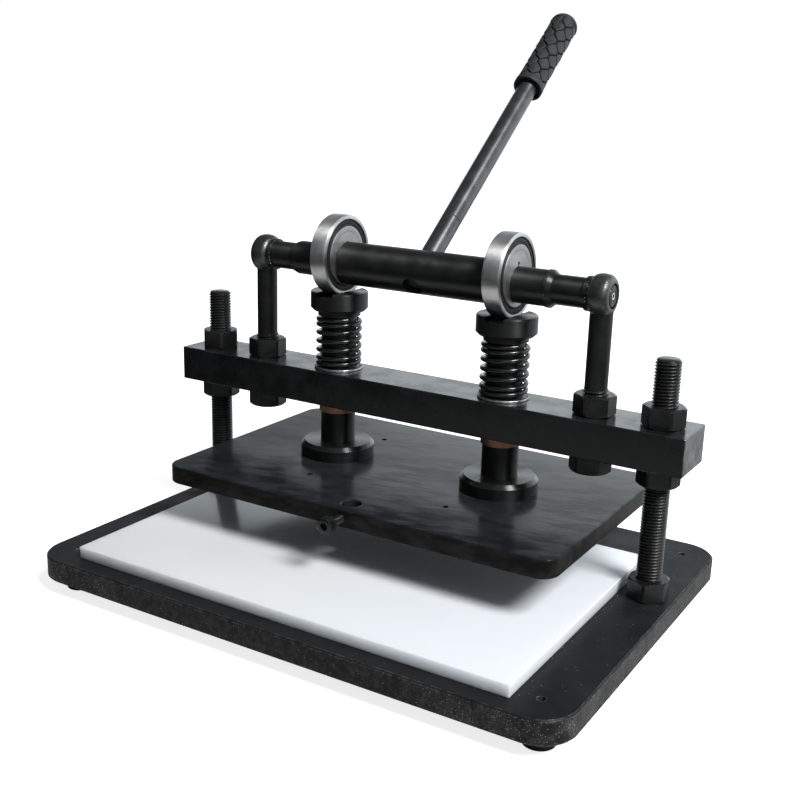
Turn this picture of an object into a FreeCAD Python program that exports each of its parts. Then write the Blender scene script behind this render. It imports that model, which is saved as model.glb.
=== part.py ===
import FreeCAD, Part
import math
import os

# Manual die cutting machine. X runs along the machine, -Y faces the operator, Z is up.
# The origin is the middle of the base plate, at the height of the floor. Millimetres.

# Base plate and feet
BASE_LENGTH = 470.0
BASE_DEPTH = 337.0
BASE_THICK = 19.0
BASE_CORNER = 28.0
BASE_EDGE = 1.2
FOOT_INSET_X = 26.0
FOOT_INSET_Y = 27.5
FOOT_HEIGHT = 12.5
FOOT_RADIUS = 12.5
FOOT_TAPER = 1.0
FOOT_POCKET_RADIUS = 6.5
FOOT_POCKET_DEPTH = 7.0
FOOT_SCREW_RADIUS = 3.15
FOOT_SCREW_HEAD_RADIUS = 5.5
FOOT_SCREW_HEAD_HEIGHT = 4.0
FOOT_SCREW_LENGTH = 16.0

# Cutting board
BOARD_SHORT_OF_RODS = 19.0
BOARD_DEPTH = 250.0
BOARD_THICK = 10.0
BOARD_X = -2.4
BOARD_Y = -28.0
BOARD_EDGE = 0.6

# Threaded rods, eye bolts and their hexagon nuts, all M20
THREAD_RADIUS = 10.0
ROD_INSET = 22.0
ROD_ABOVE_NUT = 35.5
ROD_TIP_CHAMFER = 1.8
NUT_FLATS = 30.0
NUT_CORNER_TRIM = 0.62
NUT_FACE_TRIM = 0.4
NUT_CHAMFER_ANGLE = 30.0
NUT_HEIGHT = 16.0
BASE_NUT_TURNS = {"l": 30.0, "r": 36.0}
LOWER_NUT_TURNS = {"l": 40.0, "r": 20.0}
UPPER_NUT_TURNS = {"l": 12.0, "r": 8.0}
EYE_LOWER_NUT_TURNS = {"l": 38.0, "r": 12.0}
EYE_UPPER_NUT_TURNS = {"l": 38.0, "r": 25.0}

# Crossbeam
BEAM_PAST_RODS = 25.0
BEAM_DEPTH = 48.0
BEAM_HEIGHT = 30.0
BEAM_GAP = 108.5
BEAM_Y = 45.0
BEAM_EDGE = 0.6

# Eye bolts
EYE_FROM_ROD = 55.0
EYE_BALL_RADIUS = 16.5
EYE_WIDTH = 17.0
EYE_SHANK_RADIUS = 8.9
EYE_THREAD_ABOVE_NUT = 5.0
EYE_THREAD_RUNOUT = 1.5

# Cross shaft
SHAFT_RISE = 92.0
SHAFT_MIDDLE_RADIUS = 18.0
SHAFT_RADIUS = 11.75
JOURNAL_RADIUS = 8.5
SHAFT_EDGE = 0.8
JOURNAL_SHY = 0.2
CENTRE_DRILL_RADIUS = 2.0
CENTRE_DRILL_DEPTH = 2.4
THRUST_WASHER_RADIUS = 13.5
THRUST_WASHER_THICK = 3.2
THRUST_GAP = 0.1

# Eccentric discs, drive pins and spacer sleeves
PLUNGER_X = 80.0
ECCENTRICITY = 6.5
PIN_RADIUS = 1.75
PIN_INSET = 2.0
PIN_DEPTH = 8.0
PIN_SHY = 0.8
SLEEVE_WALL = 2.5
SLEEVE_TO_SHOULDER_L = 21.1
SLEEVE_CONE_L = 5.0
SLEEVE_TO_SHOULDER_R = 25.8
SLEEVE_CONE_R = 2.6
SLEEVE_TIP_WALL = 0.5
SLEEVE_LIP_WIDTH = 4.0
SLEEVE_LIP_STEP = 0.6

# Bearings, 40 x 68 x 15
BEARING_BORE = 40.0
BEARING_OUTER = 68.0
BEARING_WIDTH = 15.0
RING_LAND = 2.4
BALL_RADIUS = 3.97
BALL_COUNT = 12
RING_EDGE = 1.0
SEAL_RUNNING_GAP = 0.3
SEAL_SEAT = 1.1
SEAL_THICK = 1.4
SEAL_SHY = 0.9
CAGE_WALL = 1.8
CAGE_WIDTH = 9.6
POCKET_GAP = 0.15

# Lever and grip
LEVER_LEAN = 51.3
LEVER_RADIUS = 8.7
LEVER_TAIL = 11.0
STUB_LENGTH = 60.3
LEVER_LENGTH = 325.0
LEVER_EDGE = 0.5
SPIGOT_RADIUS = 5.0
SPIGOT_LENGTH = 20.0
SPIGOT_END_GAP = 0.5
GRIP_LENGTH = 100.0
GRIP_PAST_ROD = 8.0
GRIP_WALL = 4.6
GRIP_COLLAR_STEP = 0.9
GRIP_COLLAR_LENGTH = 7.0
GRIP_COLLAR_FADE = 2.0
GRIP_MOUTH_GAP = 2.7
GRIP_MOUTH_DEPTH = 3.5
GRIP_TIP_ROUND = 8.0

# Plungers, their flanges and guide bushes
PLUNGER_RADIUS = 15.0
PLUNGER_LENGTH = 142.2
HEAD_RADIUS = 24.7
HEAD_HEIGHT = 16.4
HEAD_TOP_EDGE = 0.8
HEAD_LOWER_EDGE = 2.5
SLOT_DEPTH = 3.4
SLOT_CLEARANCE = 0.8
ROLLER_GAP = 0.3
COLLAR_STEP = 3.3
COLLAR_HEIGHT = 4.2
FLANGE_RADIUS = 32.3
FLANGE_HEIGHT = 13.0
FLANGE_CHAMFER = 3.2
BUSH_WALL = 1.5
BUSH_DROP = 8.2

# Springs and the washers under them
WASHER_PAST_SPRING = 1.1
WASHER_CLEARANCE = 0.6
WASHER_THICK = 2.0
SPRING_WIRE = 4.0
SPRING_CLEARANCE = 0.9
SPRING_TURNS = 6.5
SPRING_TIP_ANGLE = -33.0
SPRING_CLOSED_TURNS = 1.15
SPRING_CLOSED_PITCH = 4.5
SPRING_RAMP_TURNS = 0.5
SPRING_SEAT_GAP = 0.1
SPRING_HEAD_GAP = 0.3

# Pressing plate, its screws and holes
PLATEN_SHORT_OF_RODS = 33.0
PLATEN_DEPTH = 221.0
PLATEN_THICK = 15.0
PLATEN_CORNER = 15.0
PLATEN_Y = 41.2
PLATEN_EDGE = 0.8
PLATE_HOLE_SPACING_X = 131.0
PLATE_HOLE_SPACING_Y = 117.0
PLATE_HOLE_RADIUS = 2.5
SHANK_HOLE_X = 1.0
SHANK_HOLE_RADIUS = 7.75
SHANK_HOLE_FROM_FRONT = 16.0
SHANK_HOLE_EDGE = 0.8
PLUNGER_SCREW_RADIUS = 5.0
PLUNGER_SCREW_HEAD_RADIUS = 10.0
PLUNGER_SCREW_LENGTH = 35.0
PLUNGER_SCREW_SHY = 0.3
SCREW_HOLE_SPARE = 3.0
SOCKET_FLATS = 6.0
SOCKET_DEPTH = 3.5
CLAMP_RADIUS = 4.0
CLAMP_HEAD_RADIUS = 6.5
CLAMP_HEAD_HEIGHT = 8.0
CLAMP_LENGTH = 20.0
CLAMP_STANDOFF = 13.5
CLAMP_HEAD_EDGE = 0.6

# Fits, as radial clearances
THREAD_FIT = 0.05
RUNNING_FIT = 0.05
SEAT_FIT = 0.02
ROD_HOLE_CLEARANCE = 0.5
BOLT_HOLE_CLEARANCE = 0.25

# Places along X that follow from the base plate
FOOT_X = BASE_LENGTH / 2 - FOOT_INSET_X
FOOT_Y = BASE_DEPTH / 2 - FOOT_INSET_Y
ROD_X = BASE_LENGTH / 2 - ROD_INSET
EYE_X = ROD_X - EYE_FROM_ROD
BEAM_LENGTH = 2 * (ROD_X + BEAM_PAST_RODS)
BOARD_LENGTH = 2 * (ROD_X - BOARD_SHORT_OF_RODS)
PLATEN_LENGTH = 2 * (ROD_X - PLATEN_SHORT_OF_RODS)
EYE_INNER_X = EYE_X - EYE_WIDTH / 2
EYE_OUTER_X = EYE_X + EYE_WIDTH / 2
SHOULDER_X = EYE_INNER_X - THRUST_GAP - THRUST_WASHER_THICK - THRUST_GAP
BEARING_INNER_X = PLUNGER_X - BEARING_WIDTH / 2
BEARING_OUTER_X = PLUNGER_X + BEARING_WIDTH / 2
SLEEVE_LENGTH_L = SHOULDER_X - SLEEVE_TO_SHOULDER_L - BEARING_OUTER_X
SLEEVE_LENGTH_R = SHOULDER_X - SLEEVE_TO_SHOULDER_R - BEARING_OUTER_X

# Sizes that follow from the piece inside or beside them
NUT_CORNER_RADIUS = NUT_FLATS / math.sqrt(3) - NUT_CORNER_TRIM
NUT_FACE_RADIUS = NUT_FLATS / 2 - NUT_FACE_TRIM
PIN_OFFSET = SHAFT_MIDDLE_RADIUS - PIN_INSET
SLEEVE_RADIUS = SHAFT_RADIUS + SLEEVE_WALL
BALL_CIRCLE_RADIUS = (BEARING_BORE + BEARING_OUTER) / 4
INNER_RING_RADIUS = BALL_CIRCLE_RADIUS - RING_LAND
OUTER_RING_SHOULDER = BALL_CIRCLE_RADIUS + RING_LAND
SEAL_INNER_RADIUS = INNER_RING_RADIUS + SEAL_RUNNING_GAP
SEAL_OUTER_RADIUS = OUTER_RING_SHOULDER + SEAL_SEAT
GRIP_RADIUS = LEVER_RADIUS + GRIP_WALL
GRIP_COLLAR_RADIUS = GRIP_RADIUS + GRIP_COLLAR_STEP
GRIP_MOUTH_RADIUS = LEVER_RADIUS + GRIP_MOUTH_GAP
GRIP_END = LEVER_LENGTH + GRIP_PAST_ROD
GRIP_START = GRIP_END - GRIP_LENGTH
COLLAR_RADIUS = PLUNGER_RADIUS + COLLAR_STEP
BUSH_RADIUS = PLUNGER_RADIUS + BUSH_WALL
SPRING_OUTER = 2 * (PLUNGER_RADIUS + SPRING_CLEARANCE + SPRING_WIRE)
WASHER_RADIUS = SPRING_OUTER / 2 + WASHER_PAST_SPRING
WASHER_BORE_RADIUS = PLUNGER_RADIUS + WASHER_CLEARANCE

# Heights that follow from the sizes above
BASE_TOP = FOOT_HEIGHT + BASE_THICK
BEAM_BOTTOM = BASE_TOP + BEAM_GAP
BEAM_TOP = BEAM_BOTTOM + BEAM_HEIGHT
ROD_TOP = BEAM_TOP + NUT_HEIGHT + ROD_ABOVE_NUT
SHAFT_Z = BEAM_TOP + SHAFT_RISE
ROLLER_Z = SHAFT_Z + ECCENTRICITY
SLOT_FLOOR = ROLLER_Z - BEARING_OUTER / 2 - ROLLER_GAP
HEAD_TOP = SLOT_FLOOR + SLOT_DEPTH
HEAD_BOTTOM = HEAD_TOP - HEAD_HEIGHT
COLLAR_BOTTOM = HEAD_BOTTOM - COLLAR_HEIGHT
WASHER_TOP = BEAM_TOP + WASHER_THICK
PLATEN_TOP = SLOT_FLOOR - PLUNGER_LENGTH
PLATEN_BOTTOM = PLATEN_TOP - PLATEN_THICK
PLATEN_FRONT = PLATEN_Y - PLATEN_DEPTH / 2
SHANK_HOLE_Y = PLATEN_FRONT + SHANK_HOLE_FROM_FRONT
CLAMP_Z = PLATEN_BOTTOM + PLATEN_THICK / 2

SIDES = (("l", -1), ("r", 1))

V = FreeCAD.Vector
X_AXIS = V(1, 0, 0)
Y_AXIS = V(0, 1, 0)
Z_AXIS = V(0, 0, 1)


def save(name, *shapes):
    """Write one solid, or a group of separate solids, as one named piece."""
    solids = [solid for shape in shapes for solid in shape.Solids]
    if len(solids) != len(shapes) or not all(solid.isValid() for solid in solids):
        raise ValueError(name + " is not sound")
    print(name, [round(solid.Volume, 1) for solid in solids])
    shape = solids[0] if len(solids) == 1 else Part.makeCompound(solids)
    shape.exportStep(os.path.join("parts", name + ".step"))


def rod(radius, start, end):
    """A round bar from one point to another."""
    return Part.makeCylinder(radius, (end - start).Length, start, end - start)


def revolve(profile, axis_point, axis):
    """A turned solid. The profile holds (distance along the axis, radius) pairs."""
    side = Y_AXIS if abs(axis.dot(X_AXIS)) > 0.5 else X_AXIS
    points = [axis_point + axis * along + side * radius for along, radius in profile]
    face = Part.Face(Part.makePolygon(points + points[:1]))
    return face.revolve(axis_point, axis, 360).removeSplitter()


def turned(profile, axis_point, axis):
    """A turned solid whose profile starts and ends on the axis."""
    return revolve([(profile[0][0], 0)] + profile + [(profile[-1][0], 0)], axis_point, axis)


def bar(radius, length, chamfer):
    """Profile of a bar with a chamfer at each end."""
    return [
        (0, radius - chamfer),
        (chamfer, radius),
        (length - chamfer, radius),
        (length, radius - chamfer),
    ]


def block(x0, x1, y0, y1, z0, z1):
    """A box between two corners."""
    return Part.makeBox(x1 - x0, y1 - y0, z1 - z0, V(x0, y0, z0))


def rounded_plate(length, depth, thick, corner, edge, centre_y, bottom):
    """A flat plate with rounded corners and a small chamfer on both rims."""
    front = centre_y - depth / 2
    plate = block(-length / 2, length / 2, front, front + depth, bottom, bottom + thick)
    uprights = [e for e in plate.Edges if abs(e.tangentAt(e.FirstParameter).z) > 0.9]
    plate = plate.makeFillet(corner, uprights)
    rims = [e for e in plate.Edges if abs(e.BoundBox.ZLength) < 0.001]
    return plate.makeChamfer(edge, rims)


def hexagon(flats, height, base, axis, turn):
    """A six sided prism, turned by an angle in degrees about its axis."""
    corner = flats / math.sqrt(3)
    angles = [math.radians(turn + 60 * k) for k in range(6)]
    if abs(axis.z) > 0.5:
        points = [base + V(corner * math.cos(a), corner * math.sin(a), 0) for a in angles]
    else:
        points = [base + V(corner * math.cos(a), 0, corner * math.sin(a)) for a in angles]
    return Part.Face(Part.makePolygon(points + points[:1])).extrude(axis * height)


def nut(x, bottom, turn):
    """A hexagon nut with chamfered corners, on a vertical thread."""
    base = V(x, BEAM_Y, bottom)
    drop = (NUT_CORNER_RADIUS - NUT_FACE_RADIUS) * math.tan(math.radians(NUT_CHAMFER_ANGLE))
    envelope = [
        (0, NUT_FACE_RADIUS),
        (drop, NUT_CORNER_RADIUS),
        (NUT_HEIGHT - drop, NUT_CORNER_RADIUS),
        (NUT_HEIGHT, NUT_FACE_RADIUS),
    ]
    body = hexagon(NUT_FLATS, NUT_HEIGHT, base, Z_AXIS, turn).common(turned(envelope, base, Z_AXIS))
    bore = rod(THREAD_RADIUS + THREAD_FIT, base, base + Z_AXIS * NUT_HEIGHT)
    return body.cut(bore)


def nuts(distance, bottom, turns):
    """A pair of nuts, left and right."""
    return [nut(side * distance, bottom, turns[letter]) for letter, side in SIDES]


def corners(x, y):
    """The four corners of a rectangle about the origin."""
    return [(sx * x, sy * y) for sx in (-1, 1) for sy in (-1, 1)]


# Base

def base_plate():
    plate = rounded_plate(BASE_LENGTH, BASE_DEPTH, BASE_THICK, BASE_CORNER, BASE_EDGE, 0, FOOT_HEIGHT)
    for x, y in corners(FOOT_X, FOOT_Y):
        plate = plate.cut(rod(FOOT_SCREW_RADIUS + THREAD_FIT, V(x, y, 0), V(x, y, BASE_TOP + 1)))
    for _, side in SIDES:
        x = side * ROD_X
        plate = plate.cut(rod(THREAD_RADIUS + THREAD_FIT, V(x, BEAM_Y, 0), V(x, BEAM_Y, BASE_TOP + 1)))
    return plate


def rubber_foot(x, y):
    profile = [(0, FOOT_RADIUS - FOOT_TAPER), (FOOT_HEIGHT, FOOT_RADIUS)]
    foot = turned(profile, V(x, y, 0), Z_AXIS)
    foot = foot.cut(rod(FOOT_POCKET_RADIUS, V(x, y, 0), V(x, y, FOOT_POCKET_DEPTH)))
    return foot.cut(rod(FOOT_SCREW_RADIUS + THREAD_FIT, V(x, y, 0), V(x, y, FOOT_HEIGHT)))


def foot_screw(x, y):
    top = FOOT_POCKET_DEPTH
    head = rod(FOOT_SCREW_HEAD_RADIUS, V(x, y, top - FOOT_SCREW_HEAD_HEIGHT), V(x, y, top))
    shank = rod(FOOT_SCREW_RADIUS, V(x, y, top), V(x, y, top + FOOT_SCREW_LENGTH))
    return head.fuse(shank).removeSplitter()


def cutting_board():
    board = block(
        BOARD_X - BOARD_LENGTH / 2, BOARD_X + BOARD_LENGTH / 2,
        BOARD_Y - BOARD_DEPTH / 2, BOARD_Y + BOARD_DEPTH / 2,
        BASE_TOP, BASE_TOP + BOARD_THICK,
    )
    return board.makeChamfer(BOARD_EDGE, board.Edges)


def threaded_rod(side):
    bottom = FOOT_HEIGHT + ROD_TIP_CHAMFER
    outline = bar(THREAD_RADIUS, ROD_TOP - bottom, ROD_TIP_CHAMFER)
    return turned(outline, V(side * ROD_X, BEAM_Y, bottom), Z_AXIS)


# Crossbeam and what is bolted to it

def crossbeam():
    beam = block(
        -BEAM_LENGTH / 2, BEAM_LENGTH / 2,
        BEAM_Y - BEAM_DEPTH / 2, BEAM_Y + BEAM_DEPTH / 2,
        BEAM_BOTTOM, BEAM_TOP,
    )
    beam = beam.makeChamfer(BEAM_EDGE, beam.Edges)
    holes = (
        (ROD_X, THREAD_RADIUS + ROD_HOLE_CLEARANCE),
        (EYE_X, THREAD_RADIUS + BOLT_HOLE_CLEARANCE),
        (PLUNGER_X, BUSH_RADIUS + SEAT_FIT),
    )
    for _, side in SIDES:
        for distance, radius in holes:
            x = side * distance
            beam = beam.cut(rod(radius, V(x, BEAM_Y, BEAM_BOTTOM - 1), V(x, BEAM_Y, BEAM_TOP + 1)))
    return beam


def eye_bolt(side):
    x = side * EYE_X
    centre = V(x, BEAM_Y, SHAFT_Z)
    thread_top = BEAM_TOP + NUT_HEIGHT + EYE_THREAD_ABOVE_NUT
    thread_end = BEAM_BOTTOM - NUT_HEIGHT
    profile = [
        (thread_end, THREAD_RADIUS - EYE_THREAD_RUNOUT),
        (thread_end + EYE_THREAD_RUNOUT, THREAD_RADIUS),
        (thread_top, THREAD_RADIUS),
        (thread_top + EYE_THREAD_RUNOUT, EYE_SHANK_RADIUS),
        (SHAFT_Z, EYE_SHANK_RADIUS),
    ]
    shank = turned(profile, V(x, BEAM_Y, 0), Z_AXIS)
    eye = Part.makeSphere(EYE_BALL_RADIUS, centre).fuse(shank)
    reach = 2 * EYE_BALL_RADIUS
    slab = block(
        x - EYE_WIDTH / 2, x + EYE_WIDTH / 2,
        BEAM_Y - reach, BEAM_Y + reach,
        SHAFT_Z - EYE_BALL_RADIUS, SHAFT_Z + reach,
    )
    below = block(
        x - reach, x + reach,
        BEAM_Y - reach, BEAM_Y + reach,
        0, SHAFT_Z - EYE_BALL_RADIUS,
    )
    eye = eye.common(slab.fuse(below))
    bore = rod(JOURNAL_RADIUS + RUNNING_FIT, centre - X_AXIS * reach, centre + X_AXIS * reach)
    return eye.cut(bore).removeSplitter()


def guide_bush(side):
    x = side * PLUNGER_X
    low = V(x, BEAM_Y, BEAM_BOTTOM - BUSH_DROP)
    high = V(x, BEAM_Y, BEAM_TOP)
    return rod(BUSH_RADIUS, low, high).cut(rod(PLUNGER_RADIUS + RUNNING_FIT, low, high))


def spring_washer(side):
    low = V(side * PLUNGER_X, BEAM_Y, BEAM_TOP)
    high = low + Z_AXIS * WASHER_THICK
    return rod(WASHER_RADIUS, low, high).cut(rod(WASHER_BORE_RADIUS, low, high))


# Return springs

def spring_pitches():
    """Height of the wire's centre line and the pitch of its open turns."""
    height = COLLAR_BOTTOM - WASHER_TOP - SPRING_SEAT_GAP - SPRING_HEAD_GAP - SPRING_WIRE
    open_turns = SPRING_TURNS - 2 * SPRING_CLOSED_TURNS - SPRING_RAMP_TURNS
    open_pitch = SPRING_CLOSED_PITCH + (height - SPRING_TURNS * SPRING_CLOSED_PITCH) / open_turns
    return height, open_pitch


def spring_climb(turn):
    """Rise of the wire and its pitch, after a number of turns from the lower end."""
    height, open_pitch = spring_pitches()
    if turn > SPRING_TURNS / 2:
        rise, pitch = spring_climb(SPRING_TURNS - turn)
        return height - rise, pitch
    rise = SPRING_CLOSED_PITCH * turn
    over = turn - SPRING_CLOSED_TURNS
    if over <= 0:
        return rise, SPRING_CLOSED_PITCH
    gain = open_pitch - SPRING_CLOSED_PITCH
    ramp = min(over, SPRING_RAMP_TURNS)
    rise += gain * ramp * ramp / (2 * SPRING_RAMP_TURNS) + gain * (over - ramp)
    return rise, SPRING_CLOSED_PITCH + gain * ramp / SPRING_RAMP_TURNS


def spring_point(side, turn):
    """Place and direction of the wire's centre line after a number of turns."""
    coil_radius = (SPRING_OUTER - SPRING_WIRE) / 2
    angle = math.radians(SPRING_TIP_ANGLE + 360 * (turn - SPRING_TURNS))
    rise, pitch = spring_climb(turn)
    low = WASHER_TOP + SPRING_SEAT_GAP + SPRING_WIRE / 2
    place = V(
        side * PLUNGER_X + coil_radius * math.cos(angle),
        BEAM_Y + coil_radius * math.sin(angle),
        low + rise,
    )
    along = V(-math.sin(angle), math.cos(angle), pitch / (2 * math.pi * coil_radius))
    return place, along.normalize()


def tangent_arc(start, corner, end):
    """The arc that leaves start towards corner and arrives at end from corner."""
    middle = (start + end) * 0.5
    half_chord = (end - start).Length / 2
    lift = corner - middle
    half_angle = math.atan2(lift.Length, half_chord)
    apex = middle + lift.normalize() * (half_chord * math.tan(half_angle / 2))
    return Part.Arc(start, apex, end).toShape()


def biarc(start, start_along, end, end_along):
    """Two arcs that meet smoothly, from one place and direction to the next."""
    chord = end - start
    spread = 2 * (1 - start_along.dot(end_along))
    lean = chord.dot(start_along + end_along)
    reach = (math.sqrt(lean * lean + spread * chord.dot(chord)) - lean) / spread
    first = start + start_along * reach
    last = end - end_along * reach
    meet = (first + last) * 0.5
    return [tangent_arc(start, first, meet), tangent_arc(meet, last, end)]


def spring_gap(side):
    """Least gap between neighbouring turns, measured on points of the centre line."""
    steps_per_turn = 60
    count = int(SPRING_TURNS * steps_per_turn)
    points = [spring_point(side, k / steps_per_turn)[0] for k in range(count + 1)]
    least = min(
        (points[i] - points[j]).Length
        for i in range(count + 1)
        for j in range(i + steps_per_turn // 2, count + 1)
    )
    return least - SPRING_WIRE


def return_spring(side):
    """A compression spring of one unbroken round wire with closed ends."""
    quarters = int(round(SPRING_TURNS * 4))
    stations = [spring_point(side, SPRING_TURNS * k / quarters) for k in range(quarters + 1)]
    edges = []
    for (start, start_along), (end, end_along) in zip(stations, stations[1:]):
        edges += biarc(start, start_along, end, end_along)
    section = Part.Wire(Part.Circle(stations[0][0], stations[0][1], SPRING_WIRE / 2).toShape())
    sweep = Part.BRepOffsetAPI.MakePipeShell(Part.Wire(edges))
    sweep.add(section)
    sweep.build()
    sweep.makeSolid()
    print("spring", side, "least gap", round(spring_gap(side), 3))
    return Part.Solid(sweep.shape()) if sweep.shape().ShapeType == "Shell" else sweep.shape()


# Cross shaft

def lever_direction():
    lean = math.radians(LEVER_LEAN)
    return V(0, math.sin(lean), math.cos(lean))


def shaft_centre():
    return V(0, BEAM_Y, SHAFT_Z)


def pin_hole(side, radius, start, end):
    """A bar along X through the drive pin's place, from start to end off the middle."""
    z = SHAFT_Z + PIN_OFFSET
    return rod(radius, V(side * start, BEAM_Y, z), V(side * end, BEAM_Y, z))


def cross_shaft():
    end = EYE_OUTER_X - JOURNAL_SHY
    dimple = end - CENTRE_DRILL_DEPTH
    half = [
        (BEARING_INNER_X - SHAFT_EDGE, SHAFT_MIDDLE_RADIUS),
        (BEARING_INNER_X, SHAFT_MIDDLE_RADIUS - SHAFT_EDGE),
        (BEARING_INNER_X, SHAFT_RADIUS),
        (SHOULDER_X, SHAFT_RADIUS),
        (SHOULDER_X, JOURNAL_RADIUS),
        (end - SHAFT_EDGE, JOURNAL_RADIUS),
        (end, JOURNAL_RADIUS - SHAFT_EDGE),
        (end, CENTRE_DRILL_RADIUS),
    ]
    mirrored = [(-x, r) for x, r in reversed(half)]
    profile = [(-dimple, 0)] + mirrored + half + [(dimple, 0)]
    shaft = revolve(profile, shaft_centre(), X_AXIS)
    reach = lever_direction() * (SHAFT_MIDDLE_RADIUS + 1)
    shaft = shaft.cut(rod(LEVER_RADIUS + SEAT_FIT, shaft_centre() - reach, shaft_centre() + reach))
    for _, side in SIDES:
        hole = pin_hole(side, PIN_RADIUS + SEAT_FIT, BEARING_INNER_X - PIN_DEPTH, BEARING_INNER_X)
        shaft = shaft.cut(hole)
    return shaft


def thrust_washer(side):
    low = V(side * (SHOULDER_X + THRUST_GAP), BEAM_Y, SHAFT_Z)
    high = low + X_AXIS * (side * THRUST_WASHER_THICK)
    return rod(THRUST_WASHER_RADIUS, low, high).cut(rod(JOURNAL_RADIUS + SEAT_FIT, low, high))


def eccentric_disc(side):
    """A disc in the bearing's bore, bored off its centre for the shaft."""
    inner = V(side * BEARING_INNER_X, BEAM_Y, 0)
    outer = V(side * BEARING_OUTER_X, BEAM_Y, 0)
    up = Z_AXIS * ROLLER_Z
    disc = rod(BEARING_BORE / 2 - SEAT_FIT, inner + up, outer + up)
    shaft = Z_AXIS * SHAFT_Z
    disc = disc.cut(rod(SHAFT_RADIUS + SEAT_FIT, inner + shaft, outer + shaft))
    return disc.cut(pin_hole(side, PIN_RADIUS + SEAT_FIT, BEARING_INNER_X, BEARING_OUTER_X))


def drive_pin(side):
    return pin_hole(side, PIN_RADIUS, BEARING_INNER_X - PIN_DEPTH, BEARING_OUTER_X - PIN_SHY)


def sleeve_lip(end):
    """The raised lip that a sleeve can have just before its cone."""
    return [
        (end - SLEEVE_LIP_WIDTH, SLEEVE_RADIUS),
        (end - SLEEVE_LIP_WIDTH + SLEEVE_LIP_STEP, SLEEVE_RADIUS + SLEEVE_LIP_STEP),
        (end - SLEEVE_LIP_STEP, SLEEVE_RADIUS + SLEEVE_LIP_STEP),
    ]


def spacer_sleeve(side, length, cone, lip):
    """A sleeve with a coned outer end. The right one has a raised lip there."""
    start = V(side * BEARING_OUTER_X, BEAM_Y, SHAFT_Z)
    along = X_AXIS * side
    raised = sleeve_lip(length - cone) if lip else []
    tip = SHAFT_RADIUS + SLEEVE_TIP_WALL
    profile = [(0, SLEEVE_RADIUS)] + raised + [(length - cone, SLEEVE_RADIUS), (length, tip)]
    sleeve = turned(profile, start, along)
    return sleeve.cut(rod(SHAFT_RADIUS + SEAT_FIT, start, start + along * length))


# Bearings

def roller_centre(side):
    return V(side * PLUNGER_X, BEAM_Y, ROLLER_Z)


def ball_track(side):
    """The round groove that the balls run in, as a solid to cut away."""
    return Part.makeTorus(BALL_CIRCLE_RADIUS, BALL_RADIUS + RUNNING_FIT, roller_centre(side), X_AXIS)


def ring(side, outer, inner, width, centre_shift=0.0):
    """A plain ring about the roller's axis."""
    middle = roller_centre(side) + X_AXIS * (side * centre_shift)
    low = middle - X_AXIS * (width / 2)
    high = middle + X_AXIS * (width / 2)
    return rod(outer, low, high).cut(rod(inner, low, high))


def bearing_outer_ring(side):
    outer = BEARING_OUTER / 2
    half = BEARING_WIDTH / 2
    recess = half - SEAL_SHY - SEAL_THICK
    seal = SEAL_OUTER_RADIUS + SEAT_FIT
    profile = [
        (-half, seal),
        (-half, outer - RING_EDGE),
        (RING_EDGE - half, outer),
        (half - RING_EDGE, outer),
        (half, outer - RING_EDGE),
        (half, seal),
        (recess, seal),
        (recess, OUTER_RING_SHOULDER),
        (-recess, OUTER_RING_SHOULDER),
        (-recess, seal),
    ]
    body = revolve(profile, roller_centre(side), X_AXIS)
    return body.cut(ball_track(side))


def bearing_inner_ring(side):
    body = ring(side, INNER_RING_RADIUS, BEARING_BORE / 2, BEARING_WIDTH)
    return body.cut(ball_track(side))


def bearing_seals(side):
    shift = BEARING_WIDTH / 2 - SEAL_SHY - SEAL_THICK / 2
    return [ring(side, SEAL_OUTER_RADIUS, SEAL_INNER_RADIUS, SEAL_THICK, s * shift) for s in (-1, 1)]


def ball_places(side):
    """Centres of the balls, spaced evenly round the ball circle."""
    for k in range(BALL_COUNT):
        angle = 2 * math.pi * (k + 0.5) / BALL_COUNT
        offset = V(0, math.cos(angle), math.sin(angle)) * BALL_CIRCLE_RADIUS
        yield roller_centre(side) + offset


def bearing_balls(side):
    return [Part.makeSphere(BALL_RADIUS, place) for place in ball_places(side)]


def bearing_cage(side):
    cage = ring(side, BALL_CIRCLE_RADIUS + CAGE_WALL / 2, BALL_CIRCLE_RADIUS - CAGE_WALL / 2, CAGE_WIDTH)
    for place in ball_places(side):
        cage = cage.cut(Part.makeSphere(BALL_RADIUS + POCKET_GAP, place))
    return cage


# Lever

def lever_point(distance):
    return shaft_centre() + lever_direction() * distance


def lever_stub():
    outline = bar(LEVER_RADIUS, STUB_LENGTH + LEVER_TAIL, LEVER_EDGE)
    stub = turned(outline, lever_point(-LEVER_TAIL), lever_direction())
    depth = SPIGOT_LENGTH + SPIGOT_END_GAP
    return stub.cut(rod(SPIGOT_RADIUS + SEAT_FIT, lever_point(STUB_LENGTH - depth), lever_point(STUB_LENGTH)))


def lever_rod():
    start = STUB_LENGTH - SPIGOT_LENGTH
    profile = [
        (0, SPIGOT_RADIUS),
        (SPIGOT_LENGTH, SPIGOT_RADIUS),
        (SPIGOT_LENGTH, LEVER_RADIUS - LEVER_EDGE),
        (SPIGOT_LENGTH + LEVER_EDGE, LEVER_RADIUS),
        (LEVER_LENGTH - start - LEVER_EDGE, LEVER_RADIUS),
        (LEVER_LENGTH - start, LEVER_RADIUS - LEVER_EDGE),
    ]
    return turned(profile, lever_point(start), lever_direction())


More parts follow.
